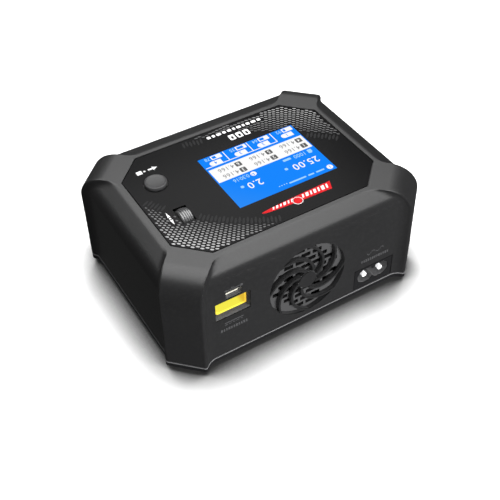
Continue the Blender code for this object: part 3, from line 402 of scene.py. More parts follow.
def inlet_nylon():
    """The DC input's yellow nylon, with painted light: it glows lemon as if lit inside, and amber toward its
    ends as painted shade on its side walls.
    """
    net = Net("yellow_nylon_inlet", specular=0.2)
    aside = net.math("ABSOLUTE", net.math("SUBTRACT", net.axis("X"), DC.x * MM))
    end = net.remap(aside, 0.0, 1.0, 5.0 * MM, 7.6 * MM)
    # Painted light: lemon glow in the middle, amber painted shade toward the ends.
    net.glow(net.mix(end, (0.86, 0.78, 0.070, 1.0), (0.70, 0.38, 0.030, 1.0)))
    flow = net.noise(120, 3.0, 0.6, (1, 0.25, 1))
    tone = net.mix(flow, (0.11, 0.095, 0.009, 1.0), (0.13, 0.112, 0.011, 1.0))
    return net.finish(tone, net.noise(1800, 2.0), (0.34, 0.48))


PLASTIC = case_plastic()
LOWER_PLASTIC = lower_plastic()
KEY = moulded("key_plastic_satin", grey(0.018, 0.0185), 0.46, 3000, 0.15, 0.36)
DARK = moulded("dark_nylon_satin", grey(0.0045, 0.0048), 0.42, 2600, 0.2, 0.3)
FAN_BLACK = moulded("fan_polybutylene", grey(0.0038, 0.0041), 0.38, 1800, 0.15, 0.35)
WHEEL_BLACK = moulded("wheel_lacquer", grey(0.042, 0.043), 0.30, 1200, 0.05, 1.0)
RUBBER = speckled("foot_rubber", grey(0.014, 0.014), 0.78, 1400)
# Painted light: the inlet's liner is pale so that the shaded cavity looks lit.
PAINTED_LIGHT_LINER = moulded("inlet_liner_grey", grey(0.095, 0.097), 0.46, 2600, 0.15, 0.3)
FILM = film()
WHITE_INK = ink("white_ink", grey(0.62, 0.62))
PAD_INK = ink("moulded_symbol_tone", grey(0.026, 0.027))
DASH_INK = ink("halftone_dash_ink", grey(0.011, 0.0115))
RED_INK = ink("red_ink", (0.42, 0.004, 0.007))
BLUE = backlight()
LIT_WHITE = lit_pixels("lit_white", grey(1.0, 1.0))
LIT_PALE = lit_pixels("lit_pale_blue", (0.38, 0.70, 1.0))
LIT_GREY = lit_pixels("lit_grey", grey(0.12, 0.12))
LIT_MID = lit_pixels("lit_mid_grey", grey(0.33, 0.33))
LIT_BLUE = lit_pixels("lit_blue", (0.0, 0.24, 1.0))
YELLOW = nylon("yellow_nylon_bright", (0.95, 0.70, 0.020), 0.36)
YELLOW_PAINTED_GLOW = inlet_nylon()
WHITE = nylon("white_nylon_natural", (0.76, 0.74, 0.68), 0.42)
STEEL = metal("plated_steel", (0.62, 0.62, 0.64), 0.26, (1, 8, 1), 400)
# Painted light: the inlet's pins and the service port's shell glow, to look lit inside their openings.
PAINTED_LIGHT_PIN = metal("nickel_pin", (0.62, 0.62, 0.63), 0.30, (1, 0.2, 1), 500, 0.06, 0.10, 0.55)
PAINTED_LIGHT_PORT_SHELL = metal("tinned_port_shell", (0.36, 0.35, 0.30), 0.36, (1, 8, 1), 400, 0.12, 0.15, 0.5)
TIN = metal("tinned_contact", (0.74, 0.73, 0.70), 0.24, (1, 1, 8), 500)
GOLD = metal("gold_plate", (0.92, 0.62, 0.22), 0.22, (1, 6, 1), 400)
ALUMINIUM = metal("extruded_aluminium", (0.72, 0.73, 0.75), 0.34, (1, 1, 0.05), 900)
FERRITE = speckled("sintered_ferrite", grey(0.045, 0.048), 0.62, 900)
CERAMIC = speckled("fired_ceramic", (0.72, 0.68, 0.60), 0.55, 700, 0.1)
FILM_YELLOW = speckled("film_capacitor_case", (0.70, 0.44, 0.05), 0.46, 300, 0.12)

SLOT_LOOKS = {
    "case_plastic": PLASTIC, "label_film": FILM, "window": BLUE, "screen_glass": DARK, "key_plastic": KEY,
    "wheel_plastic": WHEEL_BLACK, "dark_nylon": DARK, "yellow_nylon": YELLOW, "white_nylon": WHITE,
    "steel": STEEL, "gold": GOLD, "circuit_board": circuit(), "rubber": RUBBER, "copper": wound_copper(),
    "ferrite": FERRITE, "aluminium": ALUMINIUM, "capacitor_sleeve": sleeve(), "film_yellow": FILM_YELLOW,
    "ceramic": CERAMIC, "ribbon": ribbon(),
}


# ---- outlines
def rectangle(low, high):
    """A rectangle's outline from its lowest and highest corners."""
    return [(low[0], low[1]), (high[0], low[1]), (high[0], high[1]), (low[0], high[1])]


def around(centre, size):
    """A rectangle's outline from its centre and its size."""
    (x, y), (width, height) = centre, size
    return rectangle((x - width / 2, y - height / 2), (x + width / 2, y + height / 2))


def arc(centre, radii, start, end, steps):
    """Points along an elliptic arc between two angles, ends included."""
    turns = [start + (end - start) * i / steps for i in range(steps + 1)]
    return [(centre[0] + radii[0] * cos(t), centre[1] + radii[1] * sin(t)) for t in turns]


def circle(centre, radius, segments):
    """Points round a circle."""
    return arc(centre, (radius, radius), 0.0, 2 * pi, segments)[:-1]


def rounded(centre, size, radius, steps=5):
    """A rectangle with round corners; steps=1 cuts them at 45 degrees."""
    points = []
    for quadrant, (sx, sy) in enumerate(((1, 1), (-1, 1), (-1, -1), (1, -1))):
        corner = (centre[0] + sx * (size[0] / 2 - radius), centre[1] + sy * (size[1] / 2 - radius))
        points += arc(corner, (radius, radius), quadrant * pi / 2, (quadrant + 1) * pi / 2, steps)
    return points


def bezier(start, control, end, steps):
    """Points along a quadratic curve, ends included."""
    weights = [i / steps for i in range(steps + 1)]
    return [tuple((1 - w) ** 2 * s + 2 * w * (1 - w) * c + w ** 2 * e
                  for s, c, e in zip(start, control, end)) for w in weights]


def grow(outline, margin):
    """An outline moved outward by a margin, each corner along its bisector."""
    points = [Vector(p) for p in outline]
    area = sum(points[i - 1].cross(point) for i, point in enumerate(points))
    turn = 1 if area > 0 else -1
    grown = []
    for before, point, after in zip(points[-1:] + points[:-1], points, points[1:] + points[:1]):
        along = (point - before).normalized() + (after - point).normalized()
        bisector = turn * Vector((along.y, -along.x))
        grown.append(tuple(point + bisector * (2 * margin / max(bisector.length_squared, 0.8))))
    return grown


# ---- meshes, in a new bmesh or a given one
def loft(rings, closed=False, bm=None):
    """Join rings of points with walls; the first and last ring are capped unless closed."""
    bm = bmesh.new() if bm is None else bm
    loops = [[bm.verts.new(point) for point in ring] for ring in rings]
    for lower, upper in zip(loops, loops[1:] + (loops[:1] if closed else [])):
        for i, corner in enumerate(lower):
            j = (i + 1) % len(lower)
            bm.faces.new((corner, lower[j], upper[j], upper[i]))
    if not closed:
        bm.faces.new(reversed(loops[0]))
        bm.faces.new(loops[-1])
    return bm


def swept(axis, stations, closed=False, bm=None):
    """Join (outline, station) pairs across an axis."""
    place = {"X": lambda a, b, s: (s, a, b), "Y": lambda a, b, s: (a, s, b), "Z": lambda a, b, s: (a, b, s)}
    rings = [[place[axis](a, b, station) for a, b in outline] for outline, station in stations]
    return loft(rings, closed, bm)


def prism(outline, axis, start, end, bm=None):
    """Extrude an outline across an axis between two stations."""
    return swept(axis, [(outline, start), (outline, end)], bm=bm)


def box(low, high):
    """A box between its lowest and highest corners."""
    return prism(rectangle(low, high), "Z", low[2], high[2])


def turned(profile, centre, axis, segments=48, closed=False, bm=None):
    """Turn (radius, station) points about an axis through the centre."""
    return swept(axis, [(circle(centre, radius, segments), station) for radius, station in profile],
                 closed, bm)


def rod(radius, start, end, centre, axis, segments, bm=None):
    """A plain cylinder between two stations."""
    return prism(circle(centre, radius, segments), axis, start, end, bm)


def flared(outline, axis, inner, face, flare, outward, bm=None):
    """A cutter for an opening with a 45 degree flare of its mouth; outward is +1 or -1 along the axis."""
    past = 0.3
    stations = [(0.0, inner), (0.0, face - outward * flare), (flare + past, face + outward * past)]
    return swept(axis, [(grow(outline, margin), station) for margin, station in stations], bm=bm)


def lean(bm, side, z0):
    """Tilt a cutter with the drafted wall, whose face spreads downward; side is +1 rear or -1 front."""
    for vert in bm.verts:
        vert.co.y += side * DRAFT * (z0 - vert.co.z) / TOP_Z


# ---- objects
def link(name, data):
    """A new object in the scene."""
    made = bpy.data.objects.new(name, data)
    bpy.context.scene.collection.objects.link(made)
    return made


def finish_mesh(bm, name):
    """A mesh in metres from a bmesh in millimetres, with its faces pointing out."""
    bmesh.ops.recalc_face_normals(bm, faces=bm.faces)
    bmesh.ops.scale(bm, vec=(MM, MM, MM), verts=bm.verts)
    mesh = bpy.data.meshes.new(name)
    bm.to_mesh(mesh)
    bm.free()
    return mesh


def settled(made):
    """An object's mesh with its modifiers applied, or its text as a mesh."""
    bpy.context.view_layer.update()
    return bpy.data.meshes.new_from_object(made.evaluated_get(bpy.context.evaluated_depsgraph_get()))


def carve(target, cuts, adds):
    """Apply Boolean unions, then cuts, to an object's mesh."""
    steps = [("UNION", bm) for bm in adds] + [("DIFFERENCE", bm) for bm in cuts]
    tools = []
    for operation, bm in steps:
        tools.append(link("tool", finish_mesh(bm, "tool")))
        step = target.modifiers.new("cut", "BOOLEAN")
        step.operation = operation
        step.object = tools[-1]
    mesh = settled(target)
    target.modifiers.clear()
    target.data = mesh
    for tool in tools:
        bpy.data.objects.remove(tool)


def soften(made, width, segments, angle):
    """Rounded edges on an object, with shading that keeps its flat faces flat."""
    edge = made.modifiers.new("edge", "BEVEL")
    edge.width = width * MM
    edge.segments = segments
    edge.limit_method = "ANGLE"
    edge.angle_limit = radians(angle)
    edge.harden_normals = True
    edge.use_clamp_overlap = True


def make(name, bm, look, stands_for=(), body="case", cuts=(), adds=(), bevel=0.0, segments=2,
         weighted=False):
    """An object from a bmesh, carved, smoothed, with its edges eased or its normals weighted by face."""
    mesh = finish_mesh(bm, name)
    mesh.materials.append(look)
    made = link(name, mesh)
    if cuts or adds:
        carve(made, cuts, adds)
    made.data.shade_smooth()
    made.data.set_sharp_from_angle(angle=radians(SHARP_ANGLE))
    if bevel:
        soften(made, bevel, segments, SHARP_ANGLE)
    if weighted:
        step = made.modifiers.new("weigh", "WEIGHTED_NORMAL")
        step.keep_sharp = True
        step.weight = 90
    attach(made, body)
    if stands_for:
        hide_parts(*stands_for)
    return made


# ---- case outline
def panel_reach(drop, panel):
    """How far out a panel stands at a drop below the rim: rounding, slope, bend, then upright wall."""
    rim, wall, slope, bend = panel["rim"], panel["wall"], panel["slope"], panel["bend"]
    slope_end = wall - bend + bend * sin(slope)
    slope_drop = (slope_end - rim) * tan(slope)
    bend_drop = slope_drop + bend * cos(slope)
    spread = DRAFT * drop / TOP_Z
    if drop < RIM_ROUND * (1 - cos(slope)):
        return rim - RIM_ROUND * tan(slope / 2) + RIM_ROUND * sin(acos(1 - drop / RIM_ROUND)) + spread
    if drop <= slope_drop:
        return rim + drop / tan(slope) + spread
    if drop >= bend_drop:
        return wall + spread
    return wall - bend + sqrt(bend ** 2 - (bend_drop - drop) ** 2) + spread


def pillar_reach(drop):
    """Diagonal reach of a pillar at a drop below the rim: an elliptic rounding, then upright."""
    left = max(0.0, 1.0 - drop / PILLAR_DROP)
    rounding = (PILLAR_REACH - PILLAR_FLAT) * sqrt(1.0 - left ** 2)
    return PILLAR_FLAT + rounding + DRAFT * drop / TOP_Z


def flank(foot, corner, along_panel, across):
    """Fillet from a panel up a pillar's flank, then the rounding of the pillar's upright edge."""
    outward = (corner - foot).normalized()
    run = min(FLANK_FILLET, ((corner - foot).length - PILLAR_EDGE) * 0.97)
    fillet = bezier(foot + run * Vector(along_panel), foot, foot + run * outward, FLANK_STEPS)
    edge = bezier(corner - PILLAR_EDGE * outward, corner, corner + PILLAR_EDGE * across, EDGE_STEPS)
    return fillet + edge


def case_ring(drop, z, inset=0.0):
    """Outline of the case at a drop below the rim, moved inward by an inset, at height z."""
    reach_x = panel_reach(drop, PANEL_X) - inset
    reach_y = panel_reach(drop, PANEL_Y) - inset
    reach = pillar_reach(drop) - inset
    near, far = PILLAR_NEAR + inset, PILLAR_FAR - inset
    corner_x = Vector((reach + far, reach - far)) / ROOT2
    corner_y = Vector((reach + near, reach - near)) / ROOT2
    foot_x = Vector((reach_x, reach_x - ROOT2 * far))
    foot_y = Vector((reach_y + ROOT2 * near, reach_y))
    across = Vector((-1, 1)) / ROOT2
    quarter = flank(foot_x, corner_x, (0, -1), across)
    quarter += reversed(flank(foot_y, corner_y, (-1, 0), -across))
    half = quarter + [(-x, y) for x, y in reversed(quarter)]
    return [(x, y, z) for x, y in half + [(-x, -y) for x, y in half]]


def rear_face(z):
    """Y of the rear panel's face at a height."""
    return panel_reach(TOP_Z - z, PANEL_Y)


def label_outline(margin=0.0):
    """The label's octagon, grown by a margin."""
    outline = rounded((0, 0), (FILM_HIGH.x - FILM_LOW.x, FILM_HIGH.y - FILM_LOW.y), LABEL_CHAMFER, 1)
    return grow(outline, margin)


# ---- case
def grille_arm_gaps():
    """Outlines of the gaps between the grille's spiral arms, on the rear panel."""
    steps = 22
    outward = [i / steps for i in range(steps + 1)]
    first_width, last_width = GRILLE_ARM_WIDTHS

    def edge(share, arm, side):
        """Radius and angle of an arm's edge at a share of the way from the hub to the rim."""
        radius = GRILLE_HUB + (GRILLE_RADIUS - GRILLE_HUB) * share
        width = first_width * (1 - share) + last_width * share
        angle = arm * 2 * pi / GRILLE_ARMS + GRILLE_SWEEP * share - GRILLE_SWEEP
        return radius, angle + side * width / 2 / radius

    def point(radius, angle):
        return FAN.x - radius * cos(angle), FAN.z + radius * sin(angle)

    for arm in range(GRILLE_ARMS):
        leading = [point(*edge(share, arm, 1)) for share in outward]
        trailing = [point(*edge(share, arm + 1, -1)) for share in reversed(outward)]
        first, last = edge(1.0, arm, 1)[1], edge(1.0, arm + 1, -1)[1]
        rim = [point(GRILLE_RADIUS, first + (last - first) * i / 10) for i in range(1, 10)]
        yield leading + rim + trailing


def mesh_holes():
    """Centres of the staggered holes in the mesh behind the arms."""
    rows = int(GRILLE_RADIUS / MESH_PITCH[1])
    for row in range(-rows, rows + 1):
        shift = MESH_PITCH[0] / 2 if row % 2 else 0.0
        for column in range(-4, 5):
            x, z = column * MESH_PITCH[0] + shift, row * MESH_PITCH[1]
            reach = Vector((abs(x) + MESH_HOLE[0] / 2, abs(z) + MESH_HOLE[1] / 2)).length
            if reach < GRILLE_RADIUS:
                yield x, FAN.z + z


def connector_shell(centre, size, margin=0.0):
    """Outline of the bullet connector's shell: one end square, the other with cut corners."""
    (x, z), hx, hz, cut = centre, size[0] / 2 + margin, size[1] / 2 + margin, 2.2
    return [(x - hx, z - hz), (x + hx - cut, z - hz), (x + hx, z - hz + cut),
            (x + hx, z + hz - cut), (x + hx - cut, z + hz), (x - hx, z + hz)]


def rear_walls():
    """Thickened parts of the rear panel: the disc that carries the mesh and the walls round the inlets."""
    front = rear_face(FAN.z) - 1.0
    disc = rod(GRILLE_BOSS, GRILLE_BACK, front, (FAN.x, FAN.z), "Y", 64)
    return [disc] + [prism(grow(rectangle(*opening), COLLAR_WALL), "Y", COLLAR_BACK, front)
                     for opening in (DC_OPENING, USB_OPENING)]


def rear_cutters():
    """Openings of the rear panel: grille, mesh, hub groove, mains inlet, DC input and service port."""
    face = rear_face(FAN.z)
    gaps, holes = bmesh.new(), bmesh.new()
    for outline in grille_arm_gaps():
        flared(outline, "Y", face - GRILLE_RECESS, face, 0.18, 1, gaps)
    for hole in mesh_holes():
        outline = rounded(hole, MESH_HOLE, 0.2, 2)
        flared(outline, "Y", GRILLE_BACK - 1.0, face - GRILLE_RECESS, 0.12, 1, holes)
    lean(gaps, 1, FAN.z)
    lean(holes, 1, FAN.z)
    groove = rectangle((GRILLE_HUB - 0.15, face - 0.5), (GRILLE_HUB + 0.25, face + 0.5))
    hub = turned(groove, (FAN.x, FAN.z), "Y", 64, closed=True)
    half = AC_BLOCK[0] / 2 + GAP
    inlet = box((AC.x - half, face - WALL - 1.0, SEAM_Z - 2.0), (AC.x + half, face + 2.0, AC_BLOCK[2] + GAP))
    cutters = [gaps, holes, hub, inlet]
    for low, high in (DC_OPENING, USB_OPENING):
        middle = ((low[0] + high[0]) / 2, (low[1] + high[1]) / 2)
        outline = rounded(middle, (high[0] - low[0], high[1] - low[1]), 0.2, 3)
        cutters.append(flared(outline, "Y", COLLAR_BACK - 1.0, rear_face(middle[1]), 0.12, 1))
    return cutters


def front_cutter():
    """Openings of the battery outputs and the balance sockets."""
    bm = bmesh.new()
    z0 = OUTPUTS[0][2].z
    face = -rear_face(z0)
    inside = face + WALL + 1.0
    for (*_, centre), (low, high, b_centre) in zip(OUTPUTS, BALANCES):
        flared(connector_shell((centre.x, centre.z), BULLET_SHELL, GAP), "Y", inside, face, 0.2, -1, bm)
        size = (high.x - low.x + 2 * GAP, high.z - low.z + 2 * GAP)
        flared(rounded((b_centre.x, b_centre.z), size, 0.4, 3), "Y", inside, face, 0.2, -1, bm)
    lean(bm, -1, z0)
    return bm


def top_cutter(low_z, high_z, glass_margin, button_margin, slot_margin):
    """The display's window, the button's hole and the wheel's slot, cut between two heights."""
    bm = prism(grow(rectangle(GLASS_LOW, GLASS_HIGH), glass_margin), "Z", low_z, high_z)
    prism(circle(BUTTON, BUTTON_RADIUS + button_margin, 64), "Z", low_z, high_z, bm)
    prism(grow(rectangle(*wheel_slot()), slot_margin), "Z", low_z, high_z, bm)
    return bm


def wheel_slot(margin=0.0):
    """Low and high corner of the wheel's slot through the label, grown by a margin."""
    half_x, half_y = SLOT_HALF[0] + margin, SLOT_HALF[1] + margin
    return (WHEEL.x - half_x, WHEEL.y - half_y), (WHEEL.x + half_x, WHEEL.y + half_y)


def upper_shell():
    """The upper case: rounded shell, label recess and every opening, with its screw towers."""
    drops = [PILLAR_DROP * (1 - cos(pi / 2 * i / ROUNDING_STEPS)) for i in range(ROUNDING_STEPS + 1)]
    seam = SEAM_Z + GAP / 2
    rings = [case_ring(drop, TOP_Z - drop) for drop in drops]
    rings += [case_ring(TOP_Z - z, z) for z in (30.0, 18.0, seam + LIP)]
    rings += [case_ring(TOP_Z - seam, seam, inset) for inset in (LIP, WALL)]
    rings += [case_ring(drop, TOP_Z - drop - ROOF, WALL) for drop in (11.0, 9.0, 7.0, 5.0, 3.0, 1.5, 0.0)]
    towers, bores = bmesh.new(), bmesh.new()
    for *_, centre in SCREWS:
        rod(TOWER_RADIUS, 9.0, TOP_Z - ROOF + 0.3, centre, "Z", 32, towers)
        rod(1.6, 8.0, 24.0, centre, "Z", 24, bores)
    recess = flared(label_outline(GAP), "Z", TOP_Z - LABEL_DEPTH, TOP_Z, 0.15, 1)
    through = top_cutter(TOP_Z - ROOF - 1.0, TOP_Z, 1.0, 0.0, 1.2)
    make("upper_shell", loft(rings), PLASTIC, ["upper_case"], adds=[towers] + rear_walls(),
         cuts=[bores, recess, through] + rear_cutters() + [front_cutter()], weighted=True)


def lower_shell():
    """The lower case: rounded foot, seam lip, tongue, screw wells, seats of the feet and air slots."""
    drop = TOP_Z - SEAM_Z
    rim = SEAM_Z - GAP / 2
    tongue, floor = SEAM_Z + 2.3, BASE_Z + 1.8
    rings = [(BASE_Z, 1.6), (BASE_Z + 0.12, 1.0), (BASE_Z + 0.45, 0.5), (BASE_Z + 0.9, 0.15),
             (BASE_Z + 1.6, 0.0), (rim - 0.1, 0.0), (rim, 0.1), (rim, WALL + GAP), (tongue, WALL + GAP),
             (tongue, WALL + 1.5), (floor, WALL + 1.5)]
    towers, wells, slots = bmesh.new(), bmesh.new(), bmesh.new()
    well = [(3.7, BASE_Z - 0.4), (3.3, BASE_Z + 0.2), (3.3, 4.6), (1.8, 4.6), (1.8, 9.5)]
    for *_, centre in SCREWS:
        rod(TOWER_RADIUS, floor - 0.6, 8.7, centre, "Z", 32, towers)
        turned(well, centre, "Z", 32, bm=wells)
    for *_, centre in FEET:
        rod(FOOT_SEAT, BASE_Z - 1.0, BASE_Z + 0.5, centre, "Z", 48, wells)
    for column in range(-4, 5):
        flared(rounded((column * 6.5, 0.0), (2.4, 28.0), 1.15), "Z", floor + 1.0, BASE_Z, 0.25, -1, slots)
    half = AC_BLOCK[0] / 2 + GAP
    notch = box((AC.x - half, 30.0, rim), (AC.x + half, PANEL_Y["wall"], tongue + 1.0))
    make("lower_shell", loft([case_ring(drop, z, inset) for z, inset in rings]), LOWER_PLASTIC,
         ["lower_case"], cuts=[wells, slots, notch], adds=[towers], weighted=True)


def label():
    """The film in the roof's recess, with its edges eased."""
    openings = top_cutter(FILM_LOW.z - 1.0, TOP_Z + 1.0, 0.12, 0.3, 0.0)
    make("label_film", prism(label_outline(), "Z", FILM_LOW.z, FILM_HIGH.z), FILM,
         ["top_label"], cuts=[openings], bevel=0.06)


# ---- print on the label
def fits(point, outline, keep_out):
    """Whether a point is inside an outline and outside every kept-out rectangle."""
    for i, corner in enumerate(outline):
        start = Vector(outline[i - 1])
        if (Vector(corner) - start).cross(point - start) < 0:
            return False
    return not any(low[0] < point.x < high[0] and low[1] < point.y < high[1] for low, high in keep_out)


def hexagon(centre, along, across):
    """A hexagon's outline from its two half axes."""
    turns = [pi / 3 * (i + 0.5) for i in range(6)]
    return [tuple(centre + along * cos(t) + across * 1.15 * sin(t)) for t in turns]


def bar_row(x, y, lengths, gap, height, radius, fill=1.0):
    """Rounded bars side by side from x, each filling a share of its length, and where the row ends."""
    bars = []
    for length in lengths:
        bars.append(rounded((x + length / 2, y), (length * fill, height), radius, 3))
        x += length + gap
    return bars, x


def printed(name, outlines, look, layer=0, ground=FILM_HIGH):
    """Flat shapes of ink on the film or another ground, above a number of earlier layers."""
    bm = bmesh.new()
    z = ground.z + layer * PRINT
    for outline in outlines:
        prism(outline, "Z", z, z + PRINT, bm)
    make(name, bm, look)


def halftone():
    """Two crescents of hexagons, in columns that fan out from far centres and shrink inward."""
    limits = label_outline(-0.7)
    glass = (GLASS_LOW.x - 0.6, GLASS_LOW.y - 0.6), (GLASS_HIGH.x + 0.6, GLASS_HIGH.y + 0.6)
    keep_out = [glass, wheel_slot(0.6), ((41.4, 3.4), (44.2, 13.4)), ((-16.4, -28.0), (-3.0, -22.6)),
                ((-25.4, -31.9), (6.5, -29.0))]
    dashes = []
    for side, (cx, cy), start in (("rear", (-30.8, -49.2), 90.2), ("front", (37.3, 84.8), 120.0)):
        rear, cells = side == "rear", []
        for column in range(-66, 67):
            angle = atan2(-cy, -cx) + column * 1.78 / (start + 6.0)
            along = Vector((cos(angle), sin(angle)))
            across = Vector((-along.y, along.x))
            radius = start + (0.7 if column % 2 else 0.0)
            dash = Vector((cx, cy)) + along * (radius - 1.6)
            if all(fits(dash + along * reach, limits, keep_out) for reach in (-2.1, -0.7, 0.7, 2.1)):
                dashes.append(hexagon(dash, along * 2.1, across * 0.50))
            step = 1.34 if rear else 1.7
            while radius < start + 30.0:
                radius += step
                grown = (radius - start) / 20.0
                deep, wide = (0.34 + 0.12 * grown, 0.52 + 0.30 * grown) if rear else (0.33, 0.80)
                centre = Vector((cx, cy)) + along * radius
                if fits(centre, limits, keep_out):
                    cells.append(hexagon(centre, along * deep, across * wide))
                step = min(1.62, step + 0.02) if rear else 1.7
        look = halftone_ink(f"halftone_{side}_ink", (cx, cy), start, 0.36 if rear else 0.26)
        printed(f"halftone_{side}_print", cells, look)
    printed("halftone_dash_print", dashes, DASH_INK)


def swoosh():
    """A generic red streak above the display, pointed at its end, with slanted bars and a small ring."""
    left, right, y, steps = -25.8, 9.2, 25.7, 24
    upper, lower = [], []
    for i in range(steps + 1):
        x, t = left + (right - left) * i / steps, 1 - i / steps
        upper.append((x + 1.6 * t, y + 2.2 * t ** 0.40 + 0.15))
        lower.append((x - 0.3 * t, y - 2.2 * t ** 0.60 - 0.10))
    printed("streak_print", [upper + lower[::-1]], RED_INK)
    bars, x = [], left + 1.8
    for i, width in enumerate((0.8, 1.5, 0.8, 1.2, 0.7, 1.4, 0.8, 0.0, 1.2, 0.7, 1.2, 0.7, 1.0, 0.7)):
        height, over = 2.5 - 0.09 * i, x + 0.8
        low = y - height / 2 - 0.15
        high = low + height
        if width:
            bars.append([(x, low), (x + width, low), (over + width, high), (over, high)])
        x += width + (0.95 if width else 3.4)
    printed("streak_marks_print", bars, WHITE_INK, 1)
    centre, low, high = (-7.6, 26.9), FILM_HIGH.z + PRINT, FILM_HIGH.z + 2 * PRINT
    ring = turned([(2.3, low), (2.3, high), (2.05, high), (2.05, low)], centre, "Z", closed=True)
    make("streak_ring_print", ring, WHITE_INK)
    printed("streak_disc_print", [circle(centre, 1.9, 40)], RED_INK, 1)


def label_marks():
    """Generic marks: arrows beside the wheel, a back arrow under the button, bars below the display."""
    x, low, high = 42.75, 4.2, 12.5
    arrows = [[(x, high), (x - 0.65, high - 3.2), (x + 0.65, high - 3.2)],
              [(x, low), (x + 0.65, low + 3.2), (x - 0.65, low + 3.2)],
              rounded((x, (low + high) / 2), (1.0, 1.0), 0.45, 4)]
    printed("wheel_arrows_print", arrows, WHITE_INK)
    x, y = BUTTON.x, -24.7
    back = [[(x - 5.6, y), (x - 3.4, y + 1.25), (x - 3.4, y + 0.45), (x - 1.2, y + 0.45),
             (x - 1.2, y - 0.45), (x - 3.4, y - 0.45), (x - 3.4, y - 1.25)],
            rounded((x + 0.5, y), (1.0, 1.0), 0.45, 4), rounded((x + 3.0, y), (2.6, 2.4), 0.3, 3)]
    printed("button_caption_print", back, WHITE_INK)
    places = [-14.0 + 3.75 * i for i in range(3)]
    printed("title_print", [rounded((x, -25.3), (2.9, 3.9), 0.6, 4) for x in places], WHITE_INK)
    printed("title_holes_print", [rounded((x, -24.95), (1.1, 2.0), 0.4, 3) for x in places], FILM, 1)
    lengths = (2.2, 2.8, 2.2, 1.6, 2.6, 1.6, 2.4, 2.0, 2.8, 1.8, 2.2)
    printed("subtitle_print", bar_row(-24.8, -30.45, lengths, 0.45, 1.7, 0.4, 0.82)[0], WHITE_INK)


# ---- display
def digits(name, text, look, height, corner, squeeze=0.9, spacing=1.05):
    """Numbers as a thin level mesh; the corner is the left end of their base line."""
    font_height, boldness = 0.70, 0.012           # of a digit in its font, as shares of the size
    curve = bpy.data.curves.new(name, "FONT")
    curve.body = text
    curve.size = height * MM / font_height
    curve.space_character = spacing
    curve.offset = boldness * height * MM
    curve.extrude = PRINT / 2 * MM
    curve.resolution_u = 4
    temporary = link(name, curve)
    mesh = settled(temporary)
    bpy.data.objects.remove(temporary)
    shift = Matrix.Translation((corner[0] * MM, corner[1] * MM, (corner[2] + PRINT / 2) * MM))
    mesh.transform(shift @ Matrix.Diagonal((squeeze, 1, 1, 1)))
    bm = bmesh.new()
    bm.from_mesh(mesh)
    bpy.data.meshes.remove(mesh)
    bmesh.ops.remove_doubles(bm, verts=bm.verts, dist=1e-6)
    bmesh.ops.scale(bm, vec=(1 / MM, 1 / MM, 1 / MM), verts=bm.verts)
    return make(name, bm, look)


def on_glass(x, y):
    """A point of the display from its upper left corner, as places to the right and up."""
    return GLASS_LOW.x + x, GLASS_HIGH.y + y


def lit(name, outlines, look, layer=0):
    """Lit shapes on the glass."""
    printed(name, outlines, look, layer, GLASS_HIGH)


def lit_number(name, text, look, height, x, y, layer=0, squeeze=0.9, spacing=1.05):
    """A lit number on the glass."""
    digits(name, text, look, height, (*on_glass(x, y), GLASS_HIGH.z + layer * PRINT), squeeze, spacing)


def display():
    """The bonded display glass with its lit picture: header, values, cell table and four channel tabs."""
    make("display_glass", prism(rectangle(GLASS_LOW, GLASS_HIGH), "Z", GLASS_LOW.z, GLASS_HIGH.z), BLUE,
         ["display_window"], bevel=0.05)
    lit("screen_header_badge", [circle(on_glass(2.3, -2.2), 1.45, 32)], LIT_WHITE)
    lit_number("screen_header_number", "1", LIT_BLUE, 1.7, 1.75, -3.05, 1)
    x, y = on_glass(5.2, -2.3)
    words, x = bar_row(x, y, (4.2, 3.0, 8.6), 1.1, 0.85, 0.3)
    dots = [circle((x + 1.2 * i, y - 0.45), 0.30, 12) for i in range(4)]
    lit("screen_header_line", words + dots, LIT_PALE)
    lit_number("screen_voltage", "25.00", LIT_WHITE, 3.9, 3.0, -11.8, 0, 0.96, 1.12)
    lit_number("screen_current", "2.0", LIT_WHITE, 3.9, 32.0, -11.8, 0, 0.96, 1.12)
    lit("screen_units", [rounded(on_glass(x, -10.9), (1.5, 1.5), 0.5, 3) for x in (19.2, 41.4)], LIT_PALE)
    cell = ((2.4, -17.3), (4.5, -17.3), (4.5, -14.9), (3.2, -14.7), (2.4, -15.5))
    lit("screen_capacity_icon", [[on_glass(x, y) for x, y in cell]], LIT_PALE)
    lit_number("screen_capacity", "1000", LIT_PALE, 2.3, 5.6, -17.15, spacing=1.08)
    lit("screen_capacity_unit", [rounded(on_glass(15.4, -16.3), (4.0, 1.3), 0.4, 3)], LIT_PALE)
    lit("screen_clock_face", [circle(on_glass(32.8, -16.0), 1.4, 32)], LIT_WHITE)
    hands = ((32.6, -16.2), (33.9, -16.2), (33.9, -15.85), (33.0, -15.85), (33.0, -15.0), (32.6, -15.0))
    lit("screen_clock_hands", [[on_glass(x, y) for x, y in hands]], LIT_BLUE, 1)
    lit_number("screen_time", "0:30:16", LIT_PALE, 2.2, 35.0, -17.1, 0, 0.84, 1.0)
    cell_table()
    channel_tabs()


def cell_table():
    """White band with the six cell voltages, each behind a numbered grey square."""
    right = GLASS_HIGH.x - GLASS_LOW.x - 0.5
    lit("screen_cell_band", [rectangle(on_glass(0.5, -27.9), on_glass(right, -18.3))], LIT_WHITE)
    squares = []
    for cell in range(6):
        x, y = 3.4 + 15.8 * (cell % 3), -20.8 - 4.4 * (cell // 3)
        squares.append(rounded(on_glass(x, y), (3.0, 3.0), 0.5, 3))
        lit_number(f"screen_cell_{cell + 1}", str(cell + 1), LIT_WHITE, 2.0, x - 0.62, y - 1.0, 2)
        lit_number(f"screen_cell_value_{cell + 1}", "4.166", LIT_MID, 2.5, x + 2.2, y - 1.25, 1,
                   spacing=1.10)
    lit("screen_cell_squares", squares, LIT_GREY, 1)


